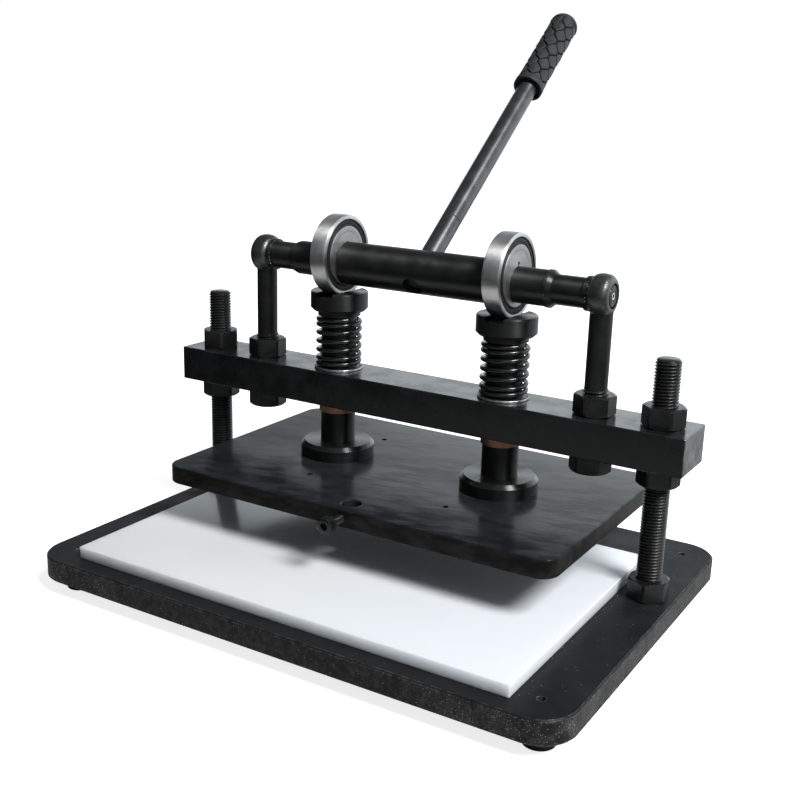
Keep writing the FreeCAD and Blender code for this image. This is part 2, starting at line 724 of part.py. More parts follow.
def hand_grip():
    """A rubber sleeve with a collar at its mouth and a rounded closed end."""
    profile = [
        (0, GRIP_COLLAR_RADIUS - LEVER_EDGE),
        (LEVER_EDGE, GRIP_COLLAR_RADIUS),
        (GRIP_COLLAR_LENGTH - GRIP_COLLAR_FADE, GRIP_COLLAR_RADIUS),
        (GRIP_COLLAR_LENGTH, GRIP_RADIUS),
        (GRIP_LENGTH, GRIP_RADIUS),
    ]
    grip = turned(profile, lever_point(GRIP_START), lever_direction())
    end = lever_point(GRIP_END)
    end_rim = [e for e in grip.Edges if e.isClosed() and (e.CenterOfMass - end).Length < SEAT_FIT]
    grip = grip.makeFillet(GRIP_TIP_ROUND, end_rim)
    grip = grip.cut(rod(LEVER_RADIUS + SEAT_FIT, lever_point(GRIP_START), lever_point(LEVER_LENGTH)))
    mouth = rod(GRIP_MOUTH_RADIUS, lever_point(GRIP_START), lever_point(GRIP_START + GRIP_MOUTH_DEPTH))
    return grip.cut(mouth)


# Press: plungers, flanges, pressing plate

def plunger(side):
    axis_point = V(side * PLUNGER_X, BEAM_Y, 0)
    profile = [
        (PLATEN_TOP, PLUNGER_RADIUS),
        (COLLAR_BOTTOM, PLUNGER_RADIUS),
        (COLLAR_BOTTOM, COLLAR_RADIUS),
        (HEAD_BOTTOM, COLLAR_RADIUS),
        (HEAD_BOTTOM, HEAD_RADIUS - HEAD_LOWER_EDGE),
        (HEAD_BOTTOM + HEAD_LOWER_EDGE, HEAD_RADIUS),
        (HEAD_TOP - HEAD_TOP_EDGE, HEAD_RADIUS),
        (HEAD_TOP, HEAD_RADIUS - HEAD_TOP_EDGE),
    ]
    body = turned(profile, axis_point, Z_AXIS)
    half_slot = BEARING_WIDTH / 2 + SLOT_CLEARANCE
    x = side * PLUNGER_X
    slot = block(
        x - half_slot, x + half_slot,
        BEAM_Y - HEAD_RADIUS - 1, BEAM_Y + HEAD_RADIUS + 1,
        SLOT_FLOOR, HEAD_TOP + 1,
    )
    hole_top = PLATEN_BOTTOM + PLUNGER_SCREW_LENGTH + SCREW_HOLE_SPARE
    hole = rod(PLUNGER_SCREW_RADIUS + THREAD_FIT, V(x, BEAM_Y, PLATEN_TOP), V(x, BEAM_Y, hole_top))
    return body.cut(slot).cut(hole)


def platen_flange(side):
    base = V(side * PLUNGER_X, BEAM_Y, PLATEN_TOP)
    profile = [
        (0, FLANGE_RADIUS),
        (FLANGE_HEIGHT - FLANGE_CHAMFER, FLANGE_RADIUS),
        (FLANGE_HEIGHT, FLANGE_RADIUS - FLANGE_CHAMFER),
    ]
    bore = rod(PLUNGER_RADIUS + SEAT_FIT, base, base + Z_AXIS * FLANGE_HEIGHT)
    return turned(profile, base, Z_AXIS).cut(bore)


def countersink(side, radius, head_radius, bottom, top):
    """A countersunk screw's outline: a 90 degree head and a straight shank."""
    profile = [
        (bottom, head_radius),
        (bottom + head_radius - radius, radius),
        (top, radius),
    ]
    return turned(profile, V(side * PLUNGER_X, BEAM_Y, 0), Z_AXIS)


def plunger_screw(side):
    bottom = PLATEN_BOTTOM + PLUNGER_SCREW_SHY
    top = PLATEN_BOTTOM + PLUNGER_SCREW_LENGTH
    screw = countersink(side, PLUNGER_SCREW_RADIUS, PLUNGER_SCREW_HEAD_RADIUS, bottom, top)
    socket = hexagon(SOCKET_FLATS, SOCKET_DEPTH, V(side * PLUNGER_X, BEAM_Y, bottom), Z_AXIS, 0)
    return screw.cut(socket)


def pressing_plate():
    plate = rounded_plate(
        PLATEN_LENGTH, PLATEN_DEPTH, PLATEN_THICK, PLATEN_CORNER, PLATEN_EDGE, PLATEN_Y, PLATEN_BOTTOM
    )
    for x, y in corners(PLATE_HOLE_SPACING_X / 2, PLATE_HOLE_SPACING_Y / 2):
        low = V(x, PLATEN_Y + y, PLATEN_BOTTOM)
        plate = plate.cut(rod(PLATE_HOLE_RADIUS, low, low + Z_AXIS * PLATEN_THICK))
    for _, side in SIDES:
        head = PLUNGER_SCREW_HEAD_RADIUS + PLUNGER_SCREW_SHY
        seat = countersink(side, PLUNGER_SCREW_RADIUS + THREAD_FIT, head, PLATEN_BOTTOM, PLATEN_TOP)
        plate = plate.cut(seat)
    low = V(SHANK_HOLE_X, SHANK_HOLE_Y, PLATEN_BOTTOM)
    wide = SHANK_HOLE_RADIUS + SHANK_HOLE_EDGE
    hole = [
        (0, wide),
        (SHANK_HOLE_EDGE, SHANK_HOLE_RADIUS),
        (PLATEN_THICK - SHANK_HOLE_EDGE, SHANK_HOLE_RADIUS),
        (PLATEN_THICK, wide),
    ]
    plate = plate.cut(turned(hole, low, Z_AXIS))
    front = V(SHANK_HOLE_X, PLATEN_FRONT, CLAMP_Z)
    return plate.cut(rod(CLAMP_RADIUS + RUNNING_FIT, front, V(SHANK_HOLE_X, SHANK_HOLE_Y, CLAMP_Z)))


def clamp_screw():
    head_back = PLATEN_FRONT - CLAMP_STANDOFF
    face = V(SHANK_HOLE_X, head_back - CLAMP_HEAD_HEIGHT, CLAMP_Z)
    profile = [
        (0, CLAMP_HEAD_RADIUS - CLAMP_HEAD_EDGE),
        (CLAMP_HEAD_EDGE, CLAMP_HEAD_RADIUS),
        (CLAMP_HEAD_HEIGHT, CLAMP_HEAD_RADIUS),
        (CLAMP_HEAD_HEIGHT, CLAMP_RADIUS),
        (CLAMP_HEAD_HEIGHT + CLAMP_LENGTH, CLAMP_RADIUS),
    ]
    screw = turned(profile, face, Y_AXIS)
    return screw.cut(hexagon(SOCKET_FLATS, SOCKET_DEPTH, face, Y_AXIS, 0))


def main():
    os.makedirs("parts", exist_ok=True)
    feet = corners(FOOT_X, FOOT_Y)
    save("base_plate", base_plate())
    save("rubber_feet", *[rubber_foot(x, y) for x, y in feet])
    save("foot_screws", *[foot_screw(x, y) for x, y in feet])
    save("cutting_board", cutting_board())
    save("crossbeam", crossbeam())
    save("base_nuts", *nuts(ROD_X, BASE_TOP, BASE_NUT_TURNS))
    save("eye_lower_nuts", *nuts(EYE_X, BEAM_BOTTOM - NUT_HEIGHT, EYE_LOWER_NUT_TURNS))
    save("eye_upper_nuts", *nuts(EYE_X, BEAM_TOP, EYE_UPPER_NUT_TURNS))
    save("spring_washers", *[spring_washer(side) for _, side in SIDES])
    save("cross_shaft", cross_shaft())
    save("thrust_washers", *[thrust_washer(side) for _, side in SIDES])
    save("drive_pins", *[drive_pin(side) for _, side in SIDES])
    save("spacer_sleeve_l", spacer_sleeve(-1, SLEEVE_LENGTH_L, SLEEVE_CONE_L, False))
    save("spacer_sleeve_r", spacer_sleeve(1, SLEEVE_LENGTH_R, SLEEVE_CONE_R, True))
    save("lever_stub", lever_stub())
    save("lever_rod", lever_rod())
    save("hand_grip", hand_grip())
    save("plunger_screws", *[plunger_screw(side) for _, side in SIDES])
    save("pressing_plate", pressing_plate())
    save("clamp_screw", clamp_screw())
    for letter, side in SIDES:
        save("threaded_rod_" + letter, threaded_rod(side))
        lower_nut = nut(side * ROD_X, BEAM_BOTTOM - NUT_HEIGHT, LOWER_NUT_TURNS[letter])
        upper_nut = nut(side * ROD_X, BEAM_TOP, UPPER_NUT_TURNS[letter])
        save("beam_lower_nut_" + letter, lower_nut)
        save("beam_upper_nut_" + letter, upper_nut)
        save("eye_bolt_" + letter, eye_bolt(side))
        save("guide_bush_" + letter, guide_bush(side))
        save("return_spring_" + letter, return_spring(side))
        save("eccentric_disc_" + letter, eccentric_disc(side))
        save("bearing_outer_ring_" + letter, bearing_outer_ring(side))
        save("bearing_inner_ring_" + letter, bearing_inner_ring(side))
        save("bearing_seals_" + letter, *bearing_seals(side))
        save("bearing_balls_" + letter, *bearing_balls(side))
        save("bearing_cage_" + letter, bearing_cage(side))
        save("plunger_" + letter, plunger(side))
        save("platen_flange_" + letter, platen_flange(side))


main()
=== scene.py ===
import math
import random

import bmesh
import bpy
from mathutils import Euler, Matrix, Vector


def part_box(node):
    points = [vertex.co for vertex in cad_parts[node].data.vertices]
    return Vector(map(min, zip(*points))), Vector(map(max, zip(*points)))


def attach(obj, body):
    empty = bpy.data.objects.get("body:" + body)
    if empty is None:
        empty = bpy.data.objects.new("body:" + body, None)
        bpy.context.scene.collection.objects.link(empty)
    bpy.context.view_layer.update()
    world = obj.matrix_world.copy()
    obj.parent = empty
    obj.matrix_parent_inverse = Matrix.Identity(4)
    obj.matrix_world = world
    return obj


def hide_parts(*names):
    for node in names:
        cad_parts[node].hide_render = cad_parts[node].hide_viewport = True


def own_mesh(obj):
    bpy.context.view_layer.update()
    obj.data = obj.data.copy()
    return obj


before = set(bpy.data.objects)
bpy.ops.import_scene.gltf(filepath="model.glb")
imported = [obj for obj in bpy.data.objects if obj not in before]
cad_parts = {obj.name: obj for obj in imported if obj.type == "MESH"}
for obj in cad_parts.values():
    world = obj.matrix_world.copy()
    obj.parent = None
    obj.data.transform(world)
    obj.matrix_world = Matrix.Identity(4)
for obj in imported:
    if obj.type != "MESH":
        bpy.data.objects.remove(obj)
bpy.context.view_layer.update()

# The looks of a lever operated die cutting press, built round its frame. Metres.
MM = 0.001
SIDES = {"l": -1, "r": 1}
UP = (0.0, 0.0, 1.0)

# Camera
CAMERA_PLACE = (0.4627, -0.7457, 0.4118)
CAMERA_TURN = (74.0941, -1.6129, 31.3236)
CAMERA_SENSOR = 36.0
CAMERA_LENS = 50.886
CAMERA_SHIFT = (-0.0084, 0.0036)
CAMERA_CLIP = 0.01

# Studio. A low bright backdrop stands behind the object, and the room in front of it is dark.
BACKDROP_TURN = -12.0
BACKDROP_SPREAD = (0.0, 1.0)
BACKDROP_LEVEL = 1.15
BACKDROP_TOP = (18.8, 21.8)
BACKDROP_SLOPE = 0.21
BACKDROP_LEVEL_AT = -0.45
GLOW_LEVEL = 0.40
GLOW_HEIGHT = (0.4, 1.15)
ROOM_LEVEL = 0.05
CEILING_LEVEL = 0.12
CEILING_SPREAD = (0.5, 0.95)
ROOM_FILL = 0.4
PANEL_DIRECTION = (0.62, -0.62, 0.48)
PANEL_SPREAD = (0.70, 0.96)
PANEL_LEVEL = 0.7
ROOM_COLOUR = (0.92, 1.0, 1.05)
FLOOR_SIZE = 6.0
FLOOR_TONE = 0.80
FLOOR_SHADE = 0.66
FLOOR_DARK = 0.05
FLOOR_REACH = (0.38, 0.60)
FLOOR_LIFT = 0.80
FLOOR_FADE = (0.40, 1.00)
FLOOR_BACK = (0.30, 0.80)
FLOOR_BACK_LEVEL = 0.6
KEY_TARGET = (0.0, 0.0, 0.1)
KEY_DIRECTION = (0.656, -0.173, 0.734)
KEY_DISTANCE = 5.0
KEY_SIZE = 1.6
KEY_POWER = 312.0

# Looks. Cloudy noise mostly stays in the first span, and the sum of two noises in the third.
CLOUD = (0.3, 0.7)
CLOUD_HIGH = (0.35, 0.7)
CLOUD_SUM = (0.7, 1.3)
RUBBED = (0.42, 0.62)
WORN_TONE = 0.16
WORN_EDGE = 0.5 * MM
BEVEL_SAMPLES = 4

# Highlights, stretched along the fine rings of turned pieces and across the drawn lever
RING_STRETCH = 0.85
RING_TURN = 0.25
LEVER_STRETCH = 0.4

# Threads
THREAD_PITCH = 2.5 * MM
THREAD_CREST = 10.0 * MM
THREAD_ROOT = 8.5 * MM
THREAD_FLAT = 0.16
THREAD_SIDES = 64
THREAD_ROWS = 8
THREAD_CHAMFER = 1.8 * MM
THREAD_GAP = 0.02 * MM

# Bearings and the cross shaft. Widths run from the middle of the piece.
SHAFT_CENTRE = (0.0, 45.0 * MM, 262.0 * MM)
ROLLER_CENTRE = (80.0 * MM, 45.0 * MM, 268.5 * MM)
RING_HALF = 7.5 * MM
RING_OUTER = 34.0 * MM
RING_EDGE = 1.4 * MM
RING_SEAT_EDGE = 0.3 * MM
INNER_RING_EDGE = 0.5 * MM
RING_SHOULDER = 29.4 * MM
INNER_RING = 24.6 * MM
RING_BORE = 20.0 * MM
TRACK_MIDDLE = 27.0 * MM
TRACK_RADIUS = 4.02 * MM
TRACK_HALF = 3.2 * MM
TRACK_STEPS = 10
SEAL_INNER = 24.9 * MM
SEAL_OUTER = 30.5 * MM
SEAL_FIT = 0.02 * MM
SEAL_DEPTH = 0.9 * MM
SEAL_BACK = 2.3 * MM
SEAL_GROOVES = (26.2 * MM, 29.3 * MM)
SEAL_GROOVE_WIDTH = 1.15 * MM
SEAL_GROOVE_DEPTH = 0.5 * MM
SEAL_STEPS = 34
TURNED_SIDES = 180

# Eye bolts
EYE_RADIUS = 16.5 * MM
EYE_HALF_WIDTH = 8.5 * MM
EYE_BAND = 5.0 * MM
EYE_FACE = 10.6 * MM
EYE_BORE = 8.6 * MM
EYE_BORE_EDGE = 1.1 * MM
# Share of the bore's chamfer that is painted near black, as painted shade of the gap round the shaft
EYE_SHADE_SHARE = 0.8
EYE_BAND_STEPS = 24
EYE_FACE_STEPS = 8
EYE_SHANK = 8.9 * MM
EYE_SHANK_TOP = 11.5 * MM
EYE_SHANK_EDGE = 0.5 * MM
EYE_SHANK_SIDES = 96
EYE_THREAD_TOP = 191.0 * MM
EYE_THREAD_LAP = 2.0 * MM

# Washers under the springs
WASHER_OUTER = 21.0 * MM
WASHER_BORE = 15.6 * MM
WASHER_EDGE = 0.6 * MM
WASHER_BORE_EDGE = 0.2 * MM
WASHER_SIDES = 120

# Clamp screw. Lengths run from the face of its head.
CLAMP_HEAD = 6.5 * MM
CLAMP_HEAD_LENGTH = 8.0 * MM
CLAMP_LENGTH = 28.0 * MM
CLAMP_SOCKET = 6.0 * MM
CLAMP_SOCKET_DEPTH = 3.5 * MM
CLAMP_SOCKET_POINT = 1.0 * MM
CLAMP_SOCKET_SIDES = 6
CLAMP_KNURL = (0.9 * MM, 6.9 * MM)
CLAMP_KNURL_FADE = 0.25 * MM
CLAMP_TEETH = 36
CLAMP_TOOTH = 0.35 * MM
CLAMP_TOOTH_STEPS = 6
CLAMP_THREAD_SCALE = 0.4
CLAMP_THREAD_LAP = 0.5 * MM
CLAMP_EDGE = 0.7 * MM
CLAMP_EDGE_ROUND = 0.3
CLAMP_BACK_EDGE = 0.3 * MM

# Cutting board and the plastic crumbs round it
BOARD_EDGE = 0.7 * MM
BOARD_SEED = 7
BOARD_SHAVINGS = 12
SHAVING_WIDTH = 0.45 * MM
SHAVING_TAPER = 1.15
SHAVING_LENGTH = (0.8 * MM, 1.8 * MM)
SHAVING_FROM_SIDE = (0.3 * MM, 2.5 * MM)
SHAVING_FROM_FRONT = 0.4 * MM
SHAVING_OUT = -0.1
SHAVING_BACK = (0.0, 0.2)
SHAVING_DROP = (-0.4, 0.1)
SHAVING_CURL = 0.5
SHAVING_STEPS = 7
CRUMB_SEED = 11
CRUMB_COUNT = 24
CRUMB_SIZE = (0.25 * MM, 0.8 * MM)
CRUMB_UNEVEN = (0.6, 1.0)
CRUMB_FLAT = 0.6
CRUMB_SCATTER = 2.0 * MM

# Worn flecks round the shaft: name, body, place along X, radius there and how many
FLECK_RINGS = (("flecks_right", "shaft", 116.0 * MM, 14.75 * MM, 22),
               ("flecks_left", "shaft", -145.2 * MM, 13.4 * MM, 16),
               ("flecks_eye", "crosshead", 150.6 * MM, 15.4 * MM, 14))
FLECK_SEED = 5
FLECK_TURN = (-70.0, 100.0)
FLECK_SIZE = (0.30 * MM, 0.65 * MM)
FLECK_FLAT = 0.8
FLECK_PROUD = 0.02 * MM
FLECK_SCATTER = 0.5 * MM

# Rims of small holes on the shaft. Those round the drive pins are near black: painted shade of their holes
CENTRE_HOLE = 1.9 * MM
CENTRE_RIM = 0.7 * MM
PIN_HOLE = 1.7 * MM
PIN_SHADE_RIM = 0.8 * MM
RIM_PROUD = 0.06 * MM
RIM_SUNK = 0.10 * MM
RIM_SIDES = 48

# Return springs
WIRE_RADIUS = 2.0 * MM
COIL_RADIUS = 17.9 * MM
SPRING_TURNS = 6.5
SPRING_CLOSED_TURNS = 1.15
SPRING_CLOSED_PITCH = 4.5 * MM
SPRING_RAMP_TURNS = 0.5
SPRING_TIP_ANGLE = -33.0
SPRING_STEPS = 56
WIRE_SIDES = 20

# Hand grip. Distances run along the lever from the middle of the shaft.
LEVER_LEAN = 51.3
GRIP_START = 233.0 * MM
GRIP_END = 332.97 * MM
GRIP_BASE = 12.6 * MM
GRIP_TOP = 13.3 * MM
GRIP_COLLAR = 13.7 * MM
GRIP_COLLAR_END = 239.6 * MM
GRIP_MOUTH = 11.4 * MM
GRIP_MOUTH_DEPTH = 3.4 * MM
GRIP_BORE = 8.73 * MM
GRIP_BORE_END = 325.0 * MM
GRIP_ROUND = 8.0 * MM
GRIP_LIP = 0.6 * MM
GRIP_LIP_STEPS = 4
GRIP_TIP_STEPS = 12
GRIP_RING = 324.4 * MM
GRIP_RING_WIDTH = 0.8 * MM
GRIP_RING_DEPTH = 0.5 * MM
SCALE_FIRST = 240.5 * MM
SCALE_LAST = 313.0 * MM
SCALE_ROW = 10.3 * MM
SCALE_COUNT = 6
SCALE_TURN = 44.3
SCALE_HALF_WIDTH = 5.7 * MM
SCALE_POINT = 5.4 * MM
SCALE_LENGTH = 16.5 * MM
SCALE_EDGE = 0.35 * MM
GROOVE_WIDTH = 1.3 * MM
GROOVE_DEPTH = 0.9 * MM
# Share of the groove's depth below which the rubber is painted darker, as painted shade
GROOVE_SHADE_SHARE = 0.3
SCALE_TIP = 324.0 * MM
GRIP_SIDES = 216
GRIP_STEP = 0.38 * MM


# Meshes

def show(name, data):
    """A new object in the scene."""
    made = bpy.data.objects.new(name, data)
    bpy.context.scene.collection.objects.link(made)
    return made


def mesh_object(name, verts, faces, smooth=True):
    """A new mesh object from plain lists of places and faces."""
    mesh = bpy.data.meshes.new(name)
    mesh.from_pydata([tuple(v) for v in verts], [], faces)
    mesh.validate()
    mesh.polygons.foreach_set("use_smooth", [smooth] * len(mesh.polygons))
    return show(name, mesh)


def bmesh_object(name, work):
    """A new mesh object from a bmesh, which is used up."""
    mesh = bpy.data.meshes.new(name)
    work.to_mesh(mesh)
    work.free()
    return show(name, mesh)


def grid_faces(rows, columns, closed=True):
    """Quads between the rows of a grid, whose columns may close on themselves."""
    last = columns if closed else columns - 1
    return [
        (r * columns + c, r * columns + (c + 1) % columns,
         (r + 1) * columns + (c + 1) % columns, (r + 1) * columns + c)
        for r in range(rows - 1) for c in range(last)
    ]


def turned_point(height, radius, turn):
    """A point at a height and radius, turned about Z."""
    return radius * math.cos(turn), radius * math.sin(turn), height


def lathe(name, profile, sides, smooth=True):
    """A body turned about Z from (height, radius) pairs, which begin and end on the axis or meet."""
    turns = [2 * math.pi / sides * k for k in range(sides)]
    verts = [turned_point(height, radius, turn) for height, radius in profile for turn in turns]
    return tidy(mesh_object(name, verts, grid_faces(len(profile), sides), smooth))


def tidy(piece, gap=0.01 * MM):
    """Joins doubled points, drops faces without area and turns every face outward."""
    work = bmesh.new()
    work.from_mesh(piece.data)
    bmesh.ops.remove_doubles(work, verts=work.verts, dist=gap)
    bmesh.ops.dissolve_degenerate(work, edges=work.edges, dist=gap)
    bmesh.ops.recalc_face_normals(work, faces=work.faces)
    work.to_mesh(piece.data)
    work.free()
    return piece


def close_rims(piece):
    """Caps every open rim of a piece."""
    work = bmesh.new()
    work.from_mesh(piece.data)
    rims = [edge for edge in work.edges if edge.is_boundary]
    bmesh.ops.holes_fill(work, edges=rims, sides=0)
    bmesh.ops.recalc_face_normals(work, faces=work.faces)
    work.to_mesh(piece.data)
    work.free()
    return piece


def sharpen(piece, angle=30.0):
    """Marks the edges that turn by more than an angle as sharp."""
    piece.data.set_sharp_from_angle(angle=math.radians(angle))
    return piece


def soften(piece, angle=30.0):
    """Every face is smooth, up to the edges that turn by more than an angle."""
    piece.data.polygons.foreach_set("use_smooth", [True] * len(piece.data.polygons))
    return sharpen(piece, angle)


def move(piece, matrix):
    """Places a piece for good: the move goes into its mesh."""
    piece.data.transform(matrix)
    piece.data.update()
    return piece


def settle(piece):
    """The piece's mesh as its modifiers leave it."""
    made = piece.evaluated_get(bpy.context.evaluated_depsgraph_get())
    mesh = bpy.data.meshes.new_from_object(made)
    piece.modifiers.clear()
    piece.data = mesh
    return piece


def carve(piece, operation, tool):
    """Joins a tool's body to a piece or takes it out."""
    modifier = piece.modifiers.new("carve", "BOOLEAN")
    modifier.operation = operation
    modifier.solver = "EXACT"
    modifier.material_mode = "TRANSFER"
    modifier.object = tool
    settle(piece)
    bpy.data.objects.remove(tool)
    return piece


def join(name, *pieces):
    """One object out of several, whose faces keep their looks."""
    whole = bmesh.new()
    looks = []
    for piece in pieces:
        before = len(whole.faces)
        whole.from_mesh(piece.data)
        whole.faces.ensure_lookup_table()
        slots = list(piece.data.materials)
        looks += [look for look in slots if look not in looks]
        for face in whole.faces[before:]:
            if slots:
                face.material_index = looks.index(slots[face.material_index])
        bpy.data.objects.remove(piece)
    joined = bmesh_object(name, whole)
    for look in looks:
        joined.data.materials.append(look)
    return joined


def stand_for(piece, node, look, body):
    """A piece that stands for a node: its look unless it has its own and its body."""
    if look is not None:
        piece.data.materials.clear()
        piece.data.materials.append(look)
    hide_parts(node)
    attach(piece, body)
    return piece


def paint(piece, look, other, chosen):
    """Gives a piece one look, and another one where the test on a face's centre holds."""
    piece.data.materials.append(look)
    piece.data.materials.append(other)
    for polygon in piece.data.polygons:
        if chosen(polygon.center):
            polygon.material_index = 1


def middle(node):
    """Centre of a node's box."""
    low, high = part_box(node)
    return (low + high) / 2


def about_x(piece, centre):
    """Turns a piece's Z axis to X and sets its origin on a centre."""
    return move(piece, Matrix.Translation(centre) @ Matrix.Rotation(math.pi / 2, 4, "Y"))


# Outlines

def smooth(value):
    """A smooth step from 0 to 1."""
    value = min(1.0, max(0.0, value))
    return value * value * (3 - 2 * value)


def curve(start, corner, end, share):
    """A point of the curve from start to end that leans into a corner."""
    return tuple(start.lerp(corner, share).lerp(corner.lerp(end, share), share))


def rounded(corners, steps=4):
    """A closed outline from (height, radius, rounding) corners."""
    outline = []
    for k, (height, radius, cut_back) in enumerate(corners):
        corner = Vector((height, radius))
        start = corner + (Vector(corners[k - 1][:2]) - corner).normalized() * cut_back
        end = corner + (Vector(corners[(k + 1) % len(corners)][:2]) - corner).normalized() * cut_back
        count = steps if cut_back else 0
        outline += [curve(start, corner, end, step / steps) for step in range(count + 1)]
    return outline + outline[:1]


def quarter(height, radius, size, start, steps):
    """Points of a quarter circle about (height, radius), from a start angle on."""
    angles = [math.radians(start + 90.0 * k / steps) for k in range(steps + 1)]
    return [(height + size * math.sin(angle), radius + size * math.cos(angle)) for angle in angles]


# Materials

class Nodes:
    """A node tree to build in. A value may be a constant or another node's output."""

    def __init__(self, tree):
        self.tree = tree

    def add(self, kind, **settings):
        """A new shader node of a kind, with its settings."""
        node = self.tree.nodes.new("ShaderNode" + kind)
        for key, value in settings.items():
            setattr(node, key, value)
        return node

    def feed(self, socket, value):
        """Links an input to another node's output, or sets its constant."""
        if isinstance(value, bpy.types.NodeSocket):
            self.tree.links.new(value, socket)
        elif socket.type == "RGBA":
            socket.default_value = (*value, 1.0)
        else:
            socket.default_value = value

    def wire(self, kind, values, output=0, **settings):
        """One output of a new node, whose inputs are fed by name or number."""
        node = self.add(kind, **settings)
        for key, value in values.items():
            self.feed(node.inputs[key], value)
        return node.outputs[output]

    def spread(self, value, low, high, to_low=0.0, to_high=1.0):
        """A smooth step of value between low and high."""
        ends = {"Value": value, "From Min": low, "From Max": high, "To Min": to_low, "To Max": to_high}
        return self.wire("MapRange", ends, "Result", interpolation_type="SMOOTHSTEP")

    def maths(self, operation, first, second=0.0):
        return self.wire("Math", {0: first, 1: second}, operation=operation)

    def plus(self, first, second):
        return self.maths("ADD", first, second)

    def times(self, first, second):
        return self.maths("MULTIPLY", first, second)

    def mix(self, share, first, second):
        """A colour between two others."""
        return self.wire("Mix", {0: share, 6: first, 7: second}, 2, data_type="RGBA")

    def blend(self, share, first, second):
        """A number between two others."""
        return self.wire("Mix", {0: share, 2: first, 3: second})

    def dot(self, first, second):
        """How far two vectors point the same way."""
        return self.wire("VectorMath", {0: first, 1: second}, "Value", operation="DOT_PRODUCT")

    def part(self, vector, axis):
        """One coordinate of a vector."""
        return self.wire("SeparateXYZ", {0: vector}, axis)

    def end(self, kind, shader):
        """The tree's output node, fed with a shader."""
        self.feed(self.add(kind).inputs["Surface"], shader)


class Look(Nodes):
    """A procedural material."""

    def __init__(self, name):
        self.material = bpy.data.materials.new(name)
        self.material.use_nodes = True
        super().__init__(self.material.node_tree)
        self.shader = self.tree.nodes["Principled BSDF"]
        self.place = self.add("TexCoord").outputs["Object"]
        self.normal = self.add("NewGeometry").outputs["Normal"]

    def set(self, **values):
        """Shader inputs by name, with underscores for spaces. Gives the material."""
        for key, value in values.items():
            self.feed(self.shader.inputs[key.replace("_", " ")], value)
        return self.material

    def noise(self, size, detail=2.0, rough=0.5, stretch=(1.0, 1.0, 1.0), turn=(0.0, 0.0, 0.0)):
        """Cloudy noise between 0 and 1 whose clouds are about size metres across."""
        turned = [math.radians(angle) for angle in turn]
        spot = self.wire("Mapping", {"Vector": self.place, "Rotation": turned, "Scale": stretch},
                         vector_type="TEXTURE")
        values = {"Vector": spot, "Scale": 1.0 / size, "Detail": detail, "Roughness": rough}
        return self.wire("TexNoise", values, "Fac")

    def specks(self, size, share, small=0.10, large=0.22):
        """Small round spots, 1 on the spot and 0 between, in a share of the cells."""
        cells = self.add("TexVoronoi")
        self.feed(cells.inputs["Vector"], self.place)
        self.feed(cells.inputs["Scale"], 1.0 / size)
        near = self.spread(cells.outputs["Distance"], small, large, 1.0, 0.0)
        red = self.wire("SeparateColor", {"Color": cells.outputs["Color"]}, "Red")
        return self.times(near, self.maths("LESS_THAN", red, share))

    def soft_normal(self, radius):
        """The surface normal with its sharp edges rounded off."""
        return self.wire("Bevel", {"Radius": radius}, samples=BEVEL_SAMPLES)

    def edges(self, radius, low=0.02, high=0.25):
        """1 along sharp edges and 0 on the faces between them."""
        flat = self.dot(self.soft_normal(radius), self.normal)
        return self.spread(flat, 1.0 - high, 1.0 - low, 1.0, 0.0)

    def facing(self, axis):
        """How far the surface faces along a fixed axis of the object, from -1 to 1."""
        own = self.wire("VectorTransform", {"Vector": self.normal}, vector_type="NORMAL",
                        convert_from="WORLD", convert_to="OBJECT")
        return self.dot(own, axis)

    def greys(self, noise, low, high, dark, pale, warm=0.0):
        """A grey that goes from dark to pale as a noise goes from low to high."""
        return self.mix(self.spread(noise, low, high), grey(dark, warm), grey(pale, warm))

    def worn(self, tone, level, noise, low, high, strength):
        """A tone that is rubbed to a paler grey along sharp edges, where a noise is high."""
        rub = self.times(self.edges(WORN_EDGE), self.spread(noise, low, high, 0.0, strength))
        return self.mix(rub, tone, grey(level))

    def upward(self, low, high, to_low=0.0, to_high=1.0):
        """A smooth step over how far the surface faces up."""
        return self.spread(self.facing(UP), low, high, to_low, to_high)

    def along(self, axis):
        """The place along one axis of the object."""
        return self.part(self.place, axis)

    def rings(self, axis, amount):
        """Stretches highlights along an axis of the piece, as the fine rings of turning do."""
        tangent = self.wire("Tangent", {}, direction_type="RADIAL", axis=axis)
        return self.set(Anisotropic=amount, Anisotropic_Rotation=RING_TURN, Tangent=tangent)

    def rings_about(self, direction, amount):
        """The same for a round bar along any direction of its object."""
        tangent = self.wire("VectorTransform", {"Vector": direction}, vector_type="VECTOR",
                            convert_from="OBJECT", convert_to="WORLD")
        return self.set(Anisotropic=amount, Tangent=tangent)

    def bump(self, height, distance, edge=None):
        """The surface normal over a height, with sharp edges rounded off if a radius is given."""
        values = {"Distance": distance, "Height": height}
        if edge is not None:
            values["Normal"] = self.soft_normal(edge)
        return self.wire("Bump", values)


def grey(level, warm=0.0):
    """A near neutral colour, a little warmer or cooler than grey."""
    return (level * (1 + warm), level, level * (1 - warm))


def oxide(name, dark, pale, gloss, dull, specular, grain=0.6 * MM, relief=0.02 * MM, wear=0.5):
    """Blackened steel: cloudy colour, uneven gloss, fine grain and edges that are worn pale."""
    look = Look(name)
    cloud = look.noise(18 * MM, detail=4.0, rough=0.6)
    fine = look.noise(grain, detail=3.0, rough=0.65)
    tone = look.greys(cloud, *CLOUD_HIGH, dark, pale)
    return look.set(
        Base_Color=look.worn(tone, WORN_TONE, fine, *RUBBED, wear),
        Roughness=look.spread(look.plus(cloud, fine), *CLOUD_SUM, gloss, dull),
        Specular_IOR_Level=specular,
        Normal=look.bump(fine, relief, 0.35 * MM),
    )


